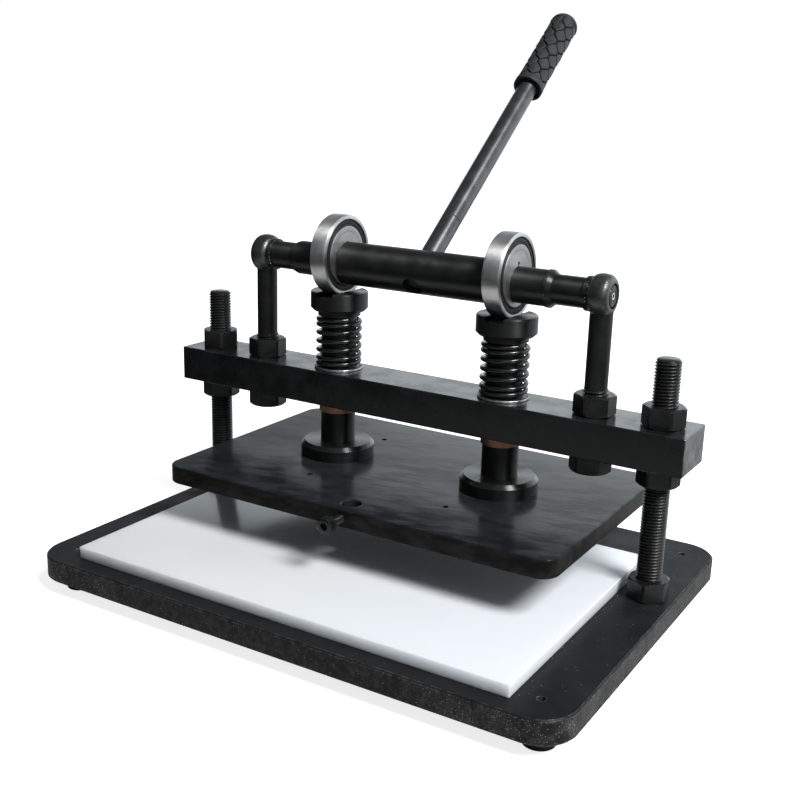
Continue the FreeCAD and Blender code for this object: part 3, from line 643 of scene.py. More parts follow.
def lever_look():
    """Drawn round bar, darker than bright steel and lightly polished along its length."""
    look = Look("lever_steel")
    cloud = look.noise(12 * MM, detail=3.0, rough=0.6)
    tone = look.greys(cloud, *CLOUD, 0.078, 0.115, -0.03)
    look.set(
        Base_Color=look.mix(look.edges(0.4 * MM), tone, grey(0.6)),
        Metallic=0.75,
        Roughness=look.spread(cloud, *CLOUD, 0.32, 0.37),
        Specular_IOR_Level=0.8,
    )
    lean = math.radians(LEVER_LEAN)
    return look.rings_about((0.0, math.sin(lean), math.cos(lean)), LEVER_STRETCH)


def turned_look(name, axis, gloss=(0.36, 0.48), body=0.5, top=None):
    """Blackened turned steel: fine rings round its axis, cloudy gloss and edges that are worn pale."""
    look = Look(name)
    cloud = look.noise(14 * MM, detail=4.0, rough=0.6)
    fine = look.noise(0.5 * MM, detail=3.0, rough=0.65)
    tone = look.greys(cloud, *CLOUD_HIGH, 0.0035, 0.0070)
    look.set(
        Base_Color=look.worn(tone, WORN_TONE, fine, *RUBBED, 0.5),
        Roughness=look.spread(cloud, *CLOUD, *gloss),
        Specular_IOR_Level=body if top is None else look.upward(0.5, 0.9, body, top),
        Normal=look.bump(fine, 0.012 * MM, 0.35 * MM),
    )
    return look.rings(axis, RING_STRETCH)


def base_look():
    """Satin black coat: a smooth top, mottled sides with pale dust, and a rim rubbed bright."""
    look = Look("base_coat")
    cloud = look.noise(26 * MM, detail=5.0, rough=0.62)
    blotch = look.noise(7 * MM, detail=4.0, rough=0.7)
    fine = look.noise(0.8 * MM, detail=3.0, rough=0.7)
    rough = look.plus(fine, blotch)
    top = look.greys(cloud, *CLOUD_HIGH, 0.010, 0.016, -0.08)
    dusty = look.times(look.spread(cloud, 0.40, 0.62), look.spread(fine, 0.46, 0.60))
    far = look.spread(look.maths("ABSOLUTE", look.along("X")), 0.10, 0.23, 0.12, 0.9)
    side_tone = look.mix(look.spread(blotch, 0.40, 0.66), grey(0.010, 0.04), grey(0.030, 0.02))
    side_tone = look.mix(look.times(dusty, far), side_tone, grey(0.14))
    side = look.upward(0.3, 0.7, 1.0, 0.0)
    dust = look.specks(2.4 * MM, look.spread(cloud, 0.35, 0.65, 0.04, 0.16), 0.05, 0.13)
    flecks = look.specks(1.3 * MM, look.times(side, look.times(far, 0.5)), 0.10, 0.26)
    tone = look.mix(look.maths("MAXIMUM", dust, flecks), look.mix(side, top, side_tone), grey(0.42))
    rub = look.times(look.edges(0.9 * MM, 0.02, 0.16), look.spread(rough, 0.92, 1.14))
    return look.set(
        Base_Color=look.mix(rub, tone, grey(0.28)),
        Roughness=look.spread(cloud, *CLOUD, 0.40, 0.56),
        Specular_IOR_Level=0.12,
        Normal=look.bump(rough, 0.06 * MM, 0.5 * MM),
    )


def plate_look():
    """Blued plate steel, brushed unevenly, mottled, and duller at its left and along its front."""
    look = Look("plate_blued")
    cloud = look.noise(42 * MM, detail=6.0, rough=0.62, stretch=(1.6, 0.9, 1.0), turn=(0, 0, 28))
    smear = look.noise(11 * MM, detail=4.0, rough=0.65, stretch=(2.6, 0.8, 1.0), turn=(0, 0, 12))
    brush = look.noise(1.1 * MM, detail=3.0, rough=0.6, stretch=(9.0, 1.0, 1.0), turn=(0, 0, 20))
    fine = look.noise(0.7 * MM, detail=3.0, rough=0.65)
    both = look.plus(cloud, smear)
    top = look.mix(look.spread(both, 0.80, 1.24), (0.010, 0.011, 0.0122), (0.021, 0.0232, 0.0262))
    side = look.upward(0.3, 0.7, 1.0, 0.0)
    dirt = look.mix(look.spread(smear, 0.4, 0.65), grey(0.008, 0.08), grey(0.017, 0.05))
    worn = look.times(look.spread(look.along("X"), -0.17, 0.0, 0.36, 1.0),
                      look.spread(look.along("Y"), -0.05, 0.02, 0.40, 1.0))
    height = look.plus(look.times(brush, 0.5), look.times(smear, 4.0))
    dull = look.spread(side, 0.0, 1.0, 0.0, 0.25)
    return look.set(
        Base_Color=look.worn(look.mix(side, top, dirt), 0.13, fine, 0.45, 0.65, 0.7),
        Roughness=look.plus(look.spread(both, 0.80, 1.24, 0.14, 0.24), dull),
        Specular_IOR_Level=look.times(worn, look.spread(both, 0.80, 1.24, 0.12, 0.28)),
        Normal=look.bump(height, 0.02 * MM, 0.5 * MM),
    )


def beam_look():
    """Blackened bar with a smooth top and sawn ends that are brushed brighter."""
    look = Look("beam_black")
    cloud = look.noise(22 * MM, detail=5.0, rough=0.6)
    fine = look.noise(0.6 * MM, detail=3.0, rough=0.65)
    saw = look.noise(0.8 * MM, detail=3.0, rough=0.6, stretch=(1.0, 1.0, 9.0), turn=(18, 0, 0))
    tone = look.greys(cloud, *CLOUD_HIGH, 0.007, 0.013, -0.06)
    end = look.spread(look.maths("ABSOLUTE", look.facing((1.0, 0.0, 0.0))), 0.6, 0.9)
    end_tone = look.greys(look.plus(saw, cloud), 0.8, 1.2, 0.055, 0.17, -0.03)
    rub = look.times(look.edges(0.6 * MM), look.spread(look.plus(fine, cloud), 0.9, 1.1, 0.0, 0.8))
    worn = look.maths("MAXIMUM", rub, look.specks(5.0 * MM, 0.02, 0.03, 0.08))
    return look.set(
        Base_Color=look.mix(worn, look.mix(end, tone, end_tone), grey(0.20)),
        Roughness=look.spread(cloud, 0.35, 0.65, 0.16, 0.28),
        Specular_IOR_Level=look.spread(look.upward(0.3, 0.7), 0.0, 1.0, 0.26, 0.76),
        Normal=look.bump(look.plus(fine, look.times(cloud, 8.0)), 0.012 * MM, 0.35 * MM),
    )


def washer_look():
    """Thin washer, black on top and bright on its rim."""
    look = Look("washer_steel")
    cloud = look.noise(4 * MM, detail=4.0, rough=0.6)
    top = look.upward(0.75, 0.97)
    rim_tone = look.mix(look.spread(cloud, 0.35, 0.65, 0.35, 0.75), grey(0.2), grey(0.8))
    return look.set(
        Base_Color=look.mix(top, rim_tone, grey(0.02)),
        Metallic=look.spread(top, 0.0, 1.0, 1.0, 0.0),
        Roughness=look.spread(cloud, *CLOUD, 0.28, 0.44),
        Normal=look.bump(cloud, 0.02 * MM),
    )


def ground_look(name, tone, gloss, dull, stretch=RING_STRETCH):
    """Ground bearing steel with fine rings round its axis."""
    look = Look(name)
    cloud = look.noise(9 * MM, detail=4.0, rough=0.6)
    fine = look.noise(0.5 * MM, detail=2.0)
    look.set(
        Base_Color=look.greys(cloud, *CLOUD, tone * 0.82, tone, 0.01),
        Metallic=1.0,
        Roughness=look.spread(look.plus(cloud, fine), *CLOUD_SUM, gloss, dull),
        Normal=look.bump(fine, 0.004 * MM),
    )
    return look.rings("X", stretch)


def spring_look():
    """Glossy black lacquer on round wire."""
    look = Look("spring_lacquer")
    cloud = look.noise(5 * MM, detail=3.0)
    return look.set(
        Base_Color=look.mix(cloud, grey(0.004), grey(0.010)),
        Roughness=look.spread(cloud, *CLOUD, 0.14, 0.26),
        Specular_IOR_Level=0.55,
        Normal=look.bump(cloud, 0.03 * MM),
    )


def copper_look():
    """Dull turned copper alloy."""
    look = Look("bush_copper")
    cloud = look.noise(5 * MM, detail=4.0)
    lines = look.noise(0.4 * MM, detail=2.0, stretch=(10.0, 10.0, 1.0))
    return look.set(
        Base_Color=look.mix(cloud, (0.30, 0.14, 0.09), (0.46, 0.26, 0.18)),
        Metallic=0.85,
        Roughness=look.spread(cloud, *CLOUD, 0.35, 0.5),
        Normal=look.bump(lines, 0.01 * MM, 0.3 * MM),
    )


def rubber_look(name, dark, pale, gloss, dull, specular):
    """Moulded rubber with a faint bloom and a fine grain."""
    look = Look(name)
    cloud = look.noise(6 * MM, detail=4.0, rough=0.6)
    fine = look.noise(0.4 * MM, detail=2.0)
    return look.set(
        Base_Color=look.greys(cloud, *CLOUD, dark, pale, -0.06),
        Roughness=look.spread(cloud, *CLOUD, gloss, dull),
        Specular_IOR_Level=specular,
        Normal=look.bump(fine, 0.02 * MM, 0.3 * MM),
    )


def board_look():
    """White polyethylene: milky, smooth, with faint cutting marks, and painted light and shade, paler at
    its left and greyer at its right.
    """
    look = Look("board_white")
    cloud = look.noise(40 * MM, detail=3.0)
    fine = look.noise(0.8 * MM, detail=3.0, rough=0.6)
    scratches = look.noise(1.0 * MM, detail=2.0, stretch=(20.0, 1.0, 1.0), turn=(0, 0, -8))
    # Painted light and shade: the colour runs from paler at the left to greyer at the right.
    worn = look.spread(look.plus(look.along("X"), look.times(cloud, 0.04)), -0.18, 0.22)
    return look.set(
        Base_Color=look.mix(worn, (0.905, 0.940, 0.990), (0.815, 0.845, 0.890)),
        Roughness=look.spread(scratches, 0.35, 0.7, 0.16, 0.19),
        Subsurface_Weight=1.0,
        Subsurface_Radius=(1.0, 1.0, 1.0),
        Subsurface_Scale=6.0 * MM,
        Normal=look.bump(fine, 0.004 * MM),
    )


def make_looks():
    """Every material by the name that the pieces ask for."""
    return {
        "base": base_look(),
        "plate": plate_look(),
        "beam": beam_look(),
        "turned": turned_look("turned_black", "X"),
        "upright": turned_look("turned_upright", "Z", body=0.36),
        "flange": turned_look("turned_flange", "Z", gloss=(0.24, 0.34), body=0.36, top=1.0),
        "nut": oxide("nut_black", 0.007, 0.014, 0.24, 0.40, 0.40, wear=0.7),
        "forged": oxide("forged_black", 0.012, 0.032, 0.28, 0.44, 1.0,
                        grain=1.7 * MM, relief=0.22 * MM, wear=1.0),
        "shank": oxide("shank_black", 0.007, 0.013, 0.34, 0.46, 0.30,
                       grain=0.9 * MM, relief=0.06 * MM),
        "thread": oxide("thread_black", 0.008, 0.015, 0.26, 0.40, 0.4, wear=0.6),
        "lever": lever_look(),
        "race": ground_look("race_steel", 0.72, 0.38, 0.46),
        "disc": ground_look("disc_steel", 0.42, 0.42, 0.54, 0.35),
        "washer": washer_look(),
        "cage": ground_look("cage_steel", 0.50, 0.35, 0.50),
        "fleck": ground_look("fleck_steel", 1.0, 0.50, 0.70, 0.0),
        "spring": spring_look(),
        "copper": copper_look(),
        "screw": oxide("screw_black", 0.002, 0.005, 0.16, 0.28, 0.45, wear=0.35),
        "grip": rubber_look("grip_rubber", 0.024, 0.038, 0.50, 0.66, 0.30),
        "foot": rubber_look("foot_rubber", 0.008, 0.014, 0.50, 0.70, 0.35),
        # Darker rubber for the bottoms of the grip's grooves: painted shade
        "groove": rubber_look("grip_groove_painted_shade", 0.004, 0.008, 0.60, 0.80, 0.10),
        # Near black for the edge of the eyes' bore and the rims round the drive pins: painted shade
        "gap": oxide("gap_painted_shade", 0.002, 0.004, 0.60, 0.80, 0.05),
        "seal": rubber_look("seal_rubber", 0.006, 0.010, 0.45, 0.60, 0.30),
        "board": board_look(),
    }


def both(*names):
    """Left and right of the nodes that come in pairs."""
    return [name + "_" + letter for name in names for letter in SIDES]


# The frame's nodes by look. Those that a finer piece stands for are dressed too.
NODE_LOOKS = {
    "base": ["base_plate"],
    "plate": ["pressing_plate"],
    "beam": ["crossbeam"],
    "turned": ["cross_shaft", "thrust_washers", *both("spacer_sleeve")],
    "upright": both("plunger"),
    "flange": both("platen_flange"),
    "nut": ["base_nuts", "eye_lower_nuts", "eye_upper_nuts", *both("beam_lower_nut", "beam_upper_nut")],
    "screw": ["clamp_screw"],
    "forged": both("eye_bolt"),
    "thread": both("threaded_rod"),
    "lever": ["lever_stub", "lever_rod"],
    "race": both("bearing_outer_ring", "bearing_balls"),
    "disc": both("eccentric_disc", "bearing_inner_ring"),
    "washer": ["spring_washers"],
    "cage": ["foot_screws", "plunger_screws", *both("bearing_cage")],
    "spring": ["drive_pins", *both("return_spring")],
    "copper": both("guide_bush"),
    "grip": ["hand_grip"],
    "foot": ["rubber_feet"],
    "seal": both("bearing_seals"),
    "board": ["cutting_board"],
}


def dress_nodes(looks):
    """Gives every node of the frame its look."""
    for look, names in NODE_LOOKS.items():
        for name in names:
            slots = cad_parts[name].data.materials
            slots.clear()
            slots.append(looks[look])


# Threaded rods

def thread_radius(share):
    """Radius of the thread at a share of its pitch: a flat crest, a sloping flank and a root."""
    away = abs(share - round(share))
    rise = (0.5 - THREAD_FLAT / 2 - away) / (0.5 - THREAD_FLAT)
    return THREAD_ROOT + (THREAD_CREST - THREAD_ROOT) * min(1.0, max(0.0, rise))


def screwed_bar(name, place, low, high):
    """A bar with a right hand thread along Z and chamfered ends."""
    turns = math.ceil((high - low) / THREAD_PITCH) + 1
    count = turns * THREAD_ROWS + 1
    verts = []
    for side in range(THREAD_SIDES + 1):
        angle = 2 * math.pi * side / THREAD_SIDES
        for row in range(count):
            share = row / THREAD_ROWS
            z = min(high, max(low, low + (share - 1 + side / THREAD_SIDES) * THREAD_PITCH))
            limit = THREAD_CREST - THREAD_CHAMFER + min(z - low, high - z)
            radius = min(thread_radius(share), limit)
            verts.append((place.x + radius * math.cos(angle), place.y + radius * math.sin(angle), z))
    piece = mesh_object(name, verts, grid_faces(THREAD_SIDES + 1, count, closed=False))
    return sharpen(close_rims(tidy(piece, THREAD_GAP)), angle=50.0)


def threaded_rod(letter, looks):
    node = "threaded_rod_" + letter
    low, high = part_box(node)
    piece = screwed_bar("rod_" + letter, middle(node), low.z, high.z)
    return stand_for(piece, node, looks["thread"], "frame")


# Eye bolts

def on_ball(x):
    """A point of the eye's ball at a distance from its middle."""
    return x, math.sqrt(EYE_RADIUS ** 2 - x ** 2)


def eye_outline():
    """Closed outline about the shaft's axis: a ball that rounds off to two faces, and the bore."""
    side = [(EYE_BORE_EDGE - EYE_HALF_WIDTH, EYE_BORE), (-EYE_HALF_WIDTH, EYE_BORE + EYE_BORE_EDGE)]
    face = Vector((-EYE_HALF_WIDTH, EYE_FACE))
    corner = Vector(on_ball(-EYE_HALF_WIDTH))
    ball = Vector(on_ball(-EYE_BAND))
    side += [curve(face, corner, ball, k / EYE_FACE_STEPS) for k in range(EYE_FACE_STEPS)]
    band = [on_ball(-EYE_BAND + 2 * EYE_BAND * k / EYE_BAND_STEPS) for k in range(EYE_BAND_STEPS + 1)]
    outline = side + band + [(-x, radius) for x, radius in reversed(side)]
    return outline + outline[:1]


def eye_bolt(letter, looks):
    """A forged eye on a plain shank with a screwed end."""
    node = "eye_bolt_" + letter
    low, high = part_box(node)
    place = Vector((middle(node).x, SHAFT_CENTRE[1], SHAFT_CENTRE[2]))
    foot = Vector((place.x, place.y, 0.0))
    eye = about_x(lathe("eye_" + letter, eye_outline(), TURNED_SIDES), place)
    # The faces at the edge of the bore take a near black look: painted shade of the gap round the shaft
    gap = EYE_BORE + EYE_SHADE_SHARE * EYE_BORE_EDGE
    paint(eye, looks["forged"], looks["gap"],
          lambda centre: math.hypot(centre.y - place.y, centre.z - place.z) < gap)
    bottom = EYE_THREAD_TOP - EYE_THREAD_LAP
    top = place.z - EYE_SHANK_TOP
    outline = [(bottom, 0.0), (bottom, EYE_SHANK - EYE_SHANK_EDGE), (bottom + EYE_SHANK_EDGE, EYE_SHANK),
               (top, EYE_SHANK), (top, 0.0)]
    shank = move(lathe("shank_" + letter, outline, EYE_SHANK_SIDES), Matrix.Translation(foot))
    shank.data.materials.append(looks["shank"])
    soften(carve(eye, "UNION", shank), angle=28.0)
    screw = screwed_bar("screw_" + letter, foot, low.z, EYE_THREAD_TOP)
    screw.data.materials.append(looks["thread"])
    piece = join("eyebolt_" + letter, eye, screw)
    return stand_for(piece, node, None, "crosshead")


# Bearings

def ball_track(sign):
    """The round groove for the balls, in the outer ring with sign 1 and in the inner with -1."""
    places = [TRACK_HALF * (2 * k / TRACK_STEPS - 1) for k in range(TRACK_STEPS + 1)]
    return [(x, TRACK_MIDDLE + sign * math.sqrt(TRACK_RADIUS ** 2 - x ** 2), 0.0) for x in places]


def outer_ring_corners():
    """The outer ring: its rim, the seals' seats and the ball track between two shoulders."""
    recess = RING_HALF - SEAL_BACK
    seat = SEAL_OUTER + SEAL_FIT
    inside = [(-recess, RING_SHOULDER, 0.0)] + ball_track(1) + [(recess, RING_SHOULDER, 0.0)]
    return [(-RING_HALF, seat, RING_SEAT_EDGE), (-RING_HALF, RING_OUTER, RING_EDGE),
            (RING_HALF, RING_OUTER, RING_EDGE), (RING_HALF, seat, RING_SEAT_EDGE),
            (recess, seat, 0.0)] + inside[::-1] + [(-recess, seat, 0.0)]


def inner_ring_corners():
    """The inner ring, with the ball track outside and the plain bore inside."""
    edge = INNER_RING_EDGE
    outside = [(-RING_HALF, INNER_RING, edge)] + ball_track(-1) + [(RING_HALF, INNER_RING, edge)]
    return outside + [(RING_HALF, RING_BORE, edge), (-RING_HALF, RING_BORE, edge)]


def seal_outline(side):
    """A seal with two round grooves in its face, on one side of the bearing."""
    back = side * (RING_HALF - SEAL_BACK)
    outline = [(back, SEAL_INNER), (back, SEAL_OUTER)]
    for k in range(SEAL_STEPS + 1):
        radius = SEAL_OUTER + (SEAL_INNER - SEAL_OUTER) * k / SEAL_STEPS
        off = min(abs(radius - groove) for groove in SEAL_GROOVES) / (SEAL_GROOVE_WIDTH / 2)
        sunk = SEAL_GROOVE_DEPTH * (1 - smooth(off))
        outline.append((side * (RING_HALF - SEAL_DEPTH - sunk), radius))
    return outline + outline[:1]


def roller_bearing(letter, looks):
    """Both rings and both seals of a sealed bearing."""
    x, y, z = ROLLER_CENTRE
    centre = Vector((SIDES[letter] * x, y, z))
    parts = (("bearing_outer_ring_", outer_ring_corners(), "race", "roller_" + letter),
             ("bearing_inner_ring_", inner_ring_corners(), "disc", "shaft"))
    for node, corners, look, body in parts:
        ring = about_x(lathe(node + "mesh_" + letter, rounded(corners), TURNED_SIDES), centre)
        sharpen(ring, angle=25.0)
        stand_for(ring, node + letter, looks[look], body)
    seals = [about_x(lathe("seal", seal_outline(side), TURNED_SIDES), centre) for side in (-1, 1)]
    piece = sharpen(join("seals_" + letter, *seals), angle=40.0)
    stand_for(piece, "bearing_seals_" + letter, looks["seal"], "roller_" + letter)


# Small turned pieces

def spring_washer_pair(looks):
    """Two thin washers with rounded rims."""
    node = "spring_washers"
    low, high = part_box(node)
    corners = [(low.z, WASHER_BORE, WASHER_BORE_EDGE), (high.z, WASHER_BORE, WASHER_EDGE),
               (high.z, WASHER_OUTER, WASHER_EDGE), (low.z, WASHER_OUTER, WASHER_EDGE)]
    pair = []
    for side in SIDES.values():
        place = Matrix.Translation((side * ROLLER_CENTRE[0], ROLLER_CENTRE[1], 0))
        pair.append(move(lathe("washer", rounded(corners), WASHER_SIDES), place))
    piece = sharpen(join("washers", *pair))
    return stand_for(piece, node, looks["washer"], "crosshead")


def clamp_head():
    """Knurled round head about Z, its face at zero, before its socket is cut."""
    sides = CLAMP_TEETH * CLAMP_TOOTH_STEPS
    full = CLAMP_HEAD
    cut_back = CLAMP_EDGE * CLAMP_EDGE_ROUND
    knurl_low, knurl_high = CLAMP_KNURL
    outline = [
        (0.0, 0.0, 0), (0.0, full - CLAMP_EDGE, 0), (cut_back, full - cut_back, 0),
        (CLAMP_EDGE, full, 0), (knurl_low, full, 0), (knurl_low + CLAMP_KNURL_FADE, full, 1),
        (knurl_high - CLAMP_KNURL_FADE, full, 1), (knurl_high, full, 0),
        (CLAMP_HEAD_LENGTH - CLAMP_BACK_EDGE, full, 0), (CLAMP_HEAD_LENGTH, full - CLAMP_BACK_EDGE, 0),
        (CLAMP_HEAD_LENGTH, 0.0, 0),
    ]
    verts = []
    for height, radius, toothed in outline:
        for k in range(sides):
            tooth = abs((k % CLAMP_TOOTH_STEPS) / (CLAMP_TOOTH_STEPS / 2) - 1) if toothed else 1.0
            out = radius - CLAMP_TOOTH * (1 - tooth)
            verts.append(turned_point(height, out, 2 * math.pi * k / sides))
    return tidy(mesh_object("clamp_head", verts, grid_faces(len(outline), sides)))


def socket_tool():
    """A six sided prism with a pointed bottom, for cutting the socket."""
    corner = CLAMP_SOCKET / math.sqrt(3)
    outline = [(-CLAMP_SOCKET_POINT, 0.0), (-CLAMP_SOCKET_POINT, corner), (CLAMP_SOCKET_DEPTH, corner),
               (CLAMP_SOCKET_DEPTH + CLAMP_SOCKET_POINT, 0.0)]
    return lathe("socket", outline, CLAMP_SOCKET_SIDES, smooth=False)


def clamp_screw(looks):
    """Socket head screw with a knurled head and a fine thread."""
    node = "clamp_screw"
    low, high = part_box(node)
    head = carve(clamp_head(), "DIFFERENCE", socket_tool())
    scale = CLAMP_THREAD_SCALE
    start = CLAMP_HEAD_LENGTH - CLAMP_THREAD_LAP
    thread = screwed_bar("clamp_thread", Vector(), start / scale, CLAMP_LENGTH / scale)
    move(thread, Matrix.Diagonal((scale, scale, scale, 1.0)))
    piece = soften(join("clamp", head, thread))
    face = Vector((middle(node).x, low.y, middle(node).z))
    move(piece, Matrix.Translation(face) @ Matrix.Rotation(-math.pi / 2, 4, "X"))
    return stand_for(piece, node, looks["screw"], "clamp")


# Cutting board

def slab(name, low, high, edge, steps=3):
    """A board with rounded edges."""
    work = bmesh.new()
    bmesh.ops.create_cube(work, size=1.0)
    size = high - low
    bmesh.ops.scale(work, vec=size, verts=work.verts)
    bmesh.ops.translate(work, vec=(low + high) / 2, verts=work.verts)
    bmesh.ops.bevel(work, geom=work.edges[:], offset=edge, segments=steps, profile=0.5, affect="EDGES")
    return soften(bmesh_object(name, work), angle=50.0)


def shaving(name, start, along, length, chance):
    """A curled sliver of plastic: a thin three sided strip that thins out to its tip."""
    steps = SHAVING_STEPS
    verts = []
    spot = Vector(start)
    heading = Vector(along).normalized()
    for k in range(steps):
        share = k / (steps - 1)
        wide = SHAVING_WIDTH * (SHAVING_TAPER - share) / 2
        side = heading.cross(Vector(UP)).normalized() * wide
        verts += [spot - side, spot + side, spot + Vector(UP) * wide]
        curl = Vector([chance.uniform(-SHAVING_CURL, SHAVING_CURL) for _ in range(3)])
        heading = (heading + curl).normalized()
        spot = spot + heading * length / steps
    piece = mesh_object(name, verts, grid_faces(steps, 3), smooth=False)
    return close_rims(piece)


def cutting_board(looks):
    """The board, with slivers hanging from the corner that was sawn roughly."""
    node = "cutting_board"
    low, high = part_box(node)
    chance = random.Random(BOARD_SEED)
    pieces = [slab("board", low, high, BOARD_EDGE)]
    for _ in range(BOARD_SHAVINGS):
        x = low.x + chance.uniform(*SHAVING_FROM_SIDE)
        start = (x, low.y + SHAVING_FROM_FRONT, chance.uniform(low.z, high.z))
        along = (SHAVING_OUT, chance.uniform(*SHAVING_BACK), chance.uniform(*SHAVING_DROP))
        pieces.append(shaving("sliver", start, along, chance.uniform(*SHAVING_LENGTH), chance))
    return stand_for(join("board", *pieces), node, looks["board"], "board")


def crumb(place, size, flat, chance):
    """An uneven grain that sits on a place."""
    work = bmesh.new()
    bmesh.ops.create_icosphere(work, subdivisions=1, radius=size / 2)
    for vert in work.verts:
        vert.co *= chance.uniform(*CRUMB_UNEVEN)
        vert.co.z *= flat
    lift = -min(vert.co.z for vert in work.verts)
    bmesh.ops.translate(work, vec=Vector(place) + Vector((0, 0, lift)), verts=work.verts)
    return bmesh_object("crumb", work)


def board_crumbs(looks):
    """Plastic crumbs on the base plate along the board's right side."""
    low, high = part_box("cutting_board")
    chance = random.Random(CRUMB_SEED)
    grains = []
    for _ in range(CRUMB_COUNT):
        x = high.x + chance.expovariate(1 / CRUMB_SCATTER) + CRUMB_SIZE[1]
        y = chance.uniform(low.y, high.y)
        grains.append(crumb((x, y, low.z), chance.uniform(*CRUMB_SIZE), CRUMB_FLAT, chance))
    piece = join("crumbs", *grains)
    piece.data.materials.append(looks["board"])
    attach(piece, "frame")


def shaft_flecks(looks):
    """Bright flecks of worn metal on the right sleeve's lip, the left thrust washer and the right eye."""
    chance = random.Random(FLECK_SEED)
    for name, body, x, radius, count in FLECK_RINGS:
        grains = []
        for _ in range(count):
            turn = math.radians(chance.uniform(*FLECK_TURN))
            out = radius + FLECK_PROUD
            place = (x + chance.uniform(-FLECK_SCATTER, FLECK_SCATTER),
                     SHAFT_CENTRE[1] - out * math.cos(turn), SHAFT_CENTRE[2] + out * math.sin(turn))
            grains.append(crumb(place, chance.uniform(*FLECK_SIZE), FLECK_FLAT, chance))
        piece = join(name, *grains)
        piece.data.materials.append(looks["fleck"])
        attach(piece, body)


def rim(name, place, bore, width, look):
    """A thin ring about X that lies on a face, round a hole's mouth."""
    outline = [(-RIM_SUNK, bore), (RIM_PROUD, bore + RIM_PROUD), (RIM_PROUD, bore + width - RIM_PROUD),
               (-RIM_SUNK, bore + width), (-RIM_SUNK, bore)]
    ring = about_x(lathe(name, outline, RIM_SIDES), place)
    ring.data.materials.append(look)
    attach(ring, "shaft")


def shaft_rims(looks):
    """Bright rims round the shaft's centre holes, and near black ones round the drive pins as painted
    shade.
    """
    low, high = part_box("cross_shaft")
    pins = [vert.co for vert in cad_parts["drive_pins"].data.vertices]
    for letter, side in SIDES.items():
        end = Vector((high.x if side > 0 else low.x, *SHAFT_CENTRE[1:]))
        rim("centre_rim_" + letter, end, CENTRE_HOLE, CENTRE_RIM, looks["fleck"])
        own = [co for co in pins if co.x * side > 0]
        near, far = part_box("eccentric_disc_" + letter)
        y, z = [(min(co[k] for co in own) + max(co[k] for co in own)) / 2 for k in (1, 2)]
        outer = far.x - max(co.x for co in own) < min(co.x for co in own) - near.x
        face = Vector((far.x if outer else near.x, y, z))
        # A near black ring round the pin's hole: painted shade
        rim("pin_shade_rim_" + letter, face, PIN_HOLE, PIN_SHADE_RIM, looks["gap"])


# Return springs

def spring_climb(turn, height, open_pitch):
    """Rise of the wire after a number of turns from the lower end, and its pitch there."""
    if turn > SPRING_TURNS / 2:
        rise, pitch = spring_climb(SPRING_TURNS - turn, height, open_pitch)
        return height - rise, pitch
    rise = SPRING_CLOSED_PITCH * turn
    over = turn - SPRING_CLOSED_TURNS
    if over <= 0:
        return rise, SPRING_CLOSED_PITCH
    gain = open_pitch - SPRING_CLOSED_PITCH
    ramp = min(over, SPRING_RAMP_TURNS)
    rise += gain * ramp * ramp / (2 * SPRING_RAMP_TURNS) + gain * (over - ramp)
    return rise, SPRING_CLOSED_PITCH + gain * ramp / SPRING_RAMP_TURNS


def return_spring(letter, looks):
    """A coil of round wire that shortens as the press closes."""
    node = "return_spring_" + letter
    low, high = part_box(node)
    height = high.z - low.z - 2 * WIRE_RADIUS
    open_turns = SPRING_TURNS - 2 * SPRING_CLOSED_TURNS - SPRING_RAMP_TURNS
    open_pitch = SPRING_CLOSED_PITCH + (height - SPRING_TURNS * SPRING_CLOSED_PITCH) / open_turns
    centre = Vector((SIDES[letter] * ROLLER_CENTRE[0], SHAFT_CENTRE[1], low.z + WIRE_RADIUS))
    steps = int(SPRING_TURNS * SPRING_STEPS)
    verts = []
    for step in range(steps + 1):
        turn = SPRING_TURNS * step / steps
        angle = math.radians(SPRING_TIP_ANGLE + 360 * (turn - SPRING_TURNS))
        rise, pitch = spring_climb(turn, height, open_pitch)
        outward = Vector((math.cos(angle), math.sin(angle), 0.0))
        climb = pitch / (2 * math.pi * COIL_RADIUS)
        upward = outward.cross(Vector((-math.sin(angle), math.cos(angle), climb)).normalized())
        spot = centre + outward * COIL_RADIUS + Vector((0.0, 0.0, rise))
        for side in range(WIRE_SIDES):
            around = 2 * math.pi * side / WIRE_SIDES
            verts.append(spot + (outward * math.cos(around) + upward * math.sin(around)) * WIRE_RADIUS)
    piece = mesh_object("spring_" + letter, verts, grid_faces(steps + 1, WIRE_SIDES))
    sharpen(close_rims(piece), angle=60.0)
    stand_for(piece, node, looks["spring"], "crosshead")
    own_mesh(piece)
    return piece


# Hand grip

def scale_relief(distance, angle):
    """Height of the grip's surface over its base. Each scale lies on the one nearer the tip."""
    height = 0.0
    groove = 0.0
    newest = math.floor((distance - SCALE_FIRST + GROOVE_WIDTH) / SCALE_ROW)
    last = round((SCALE_LAST - SCALE_FIRST) / SCALE_ROW)
    for row in range(min(newest, last), max(0, newest - 1) - 1, -1):
        above = distance - SCALE_FIRST - row * SCALE_ROW
        spacing = 360.0 / SCALE_COUNT
        first = SCALE_TURN + (spacing / 2 if row % 2 == 0 else 0.0)
        off = (angle - first + spacing / 2) % spacing - spacing / 2
        beside = abs(math.radians(off)) * GRIP_TOP
        slant = (above - SCALE_POINT * beside / SCALE_HALF_WIDTH) * math.cos(math.pi / 4)
        inside = min(slant, SCALE_HALF_WIDTH - beside)
        rise = 1 - max(0.0, above) / SCALE_LENGTH
        if rise <= 0:
            continue
        if inside > 0:
            height = rise * smooth(inside / SCALE_EDGE)
            break
        if inside > -GROOVE_WIDTH:
            groove = max(groove, rise * math.sin(-math.pi * inside / GROOVE_WIDTH))
    return height * (1 - groove) * (GRIP_TOP - GRIP_BASE) - groove * GROOVE_DEPTH


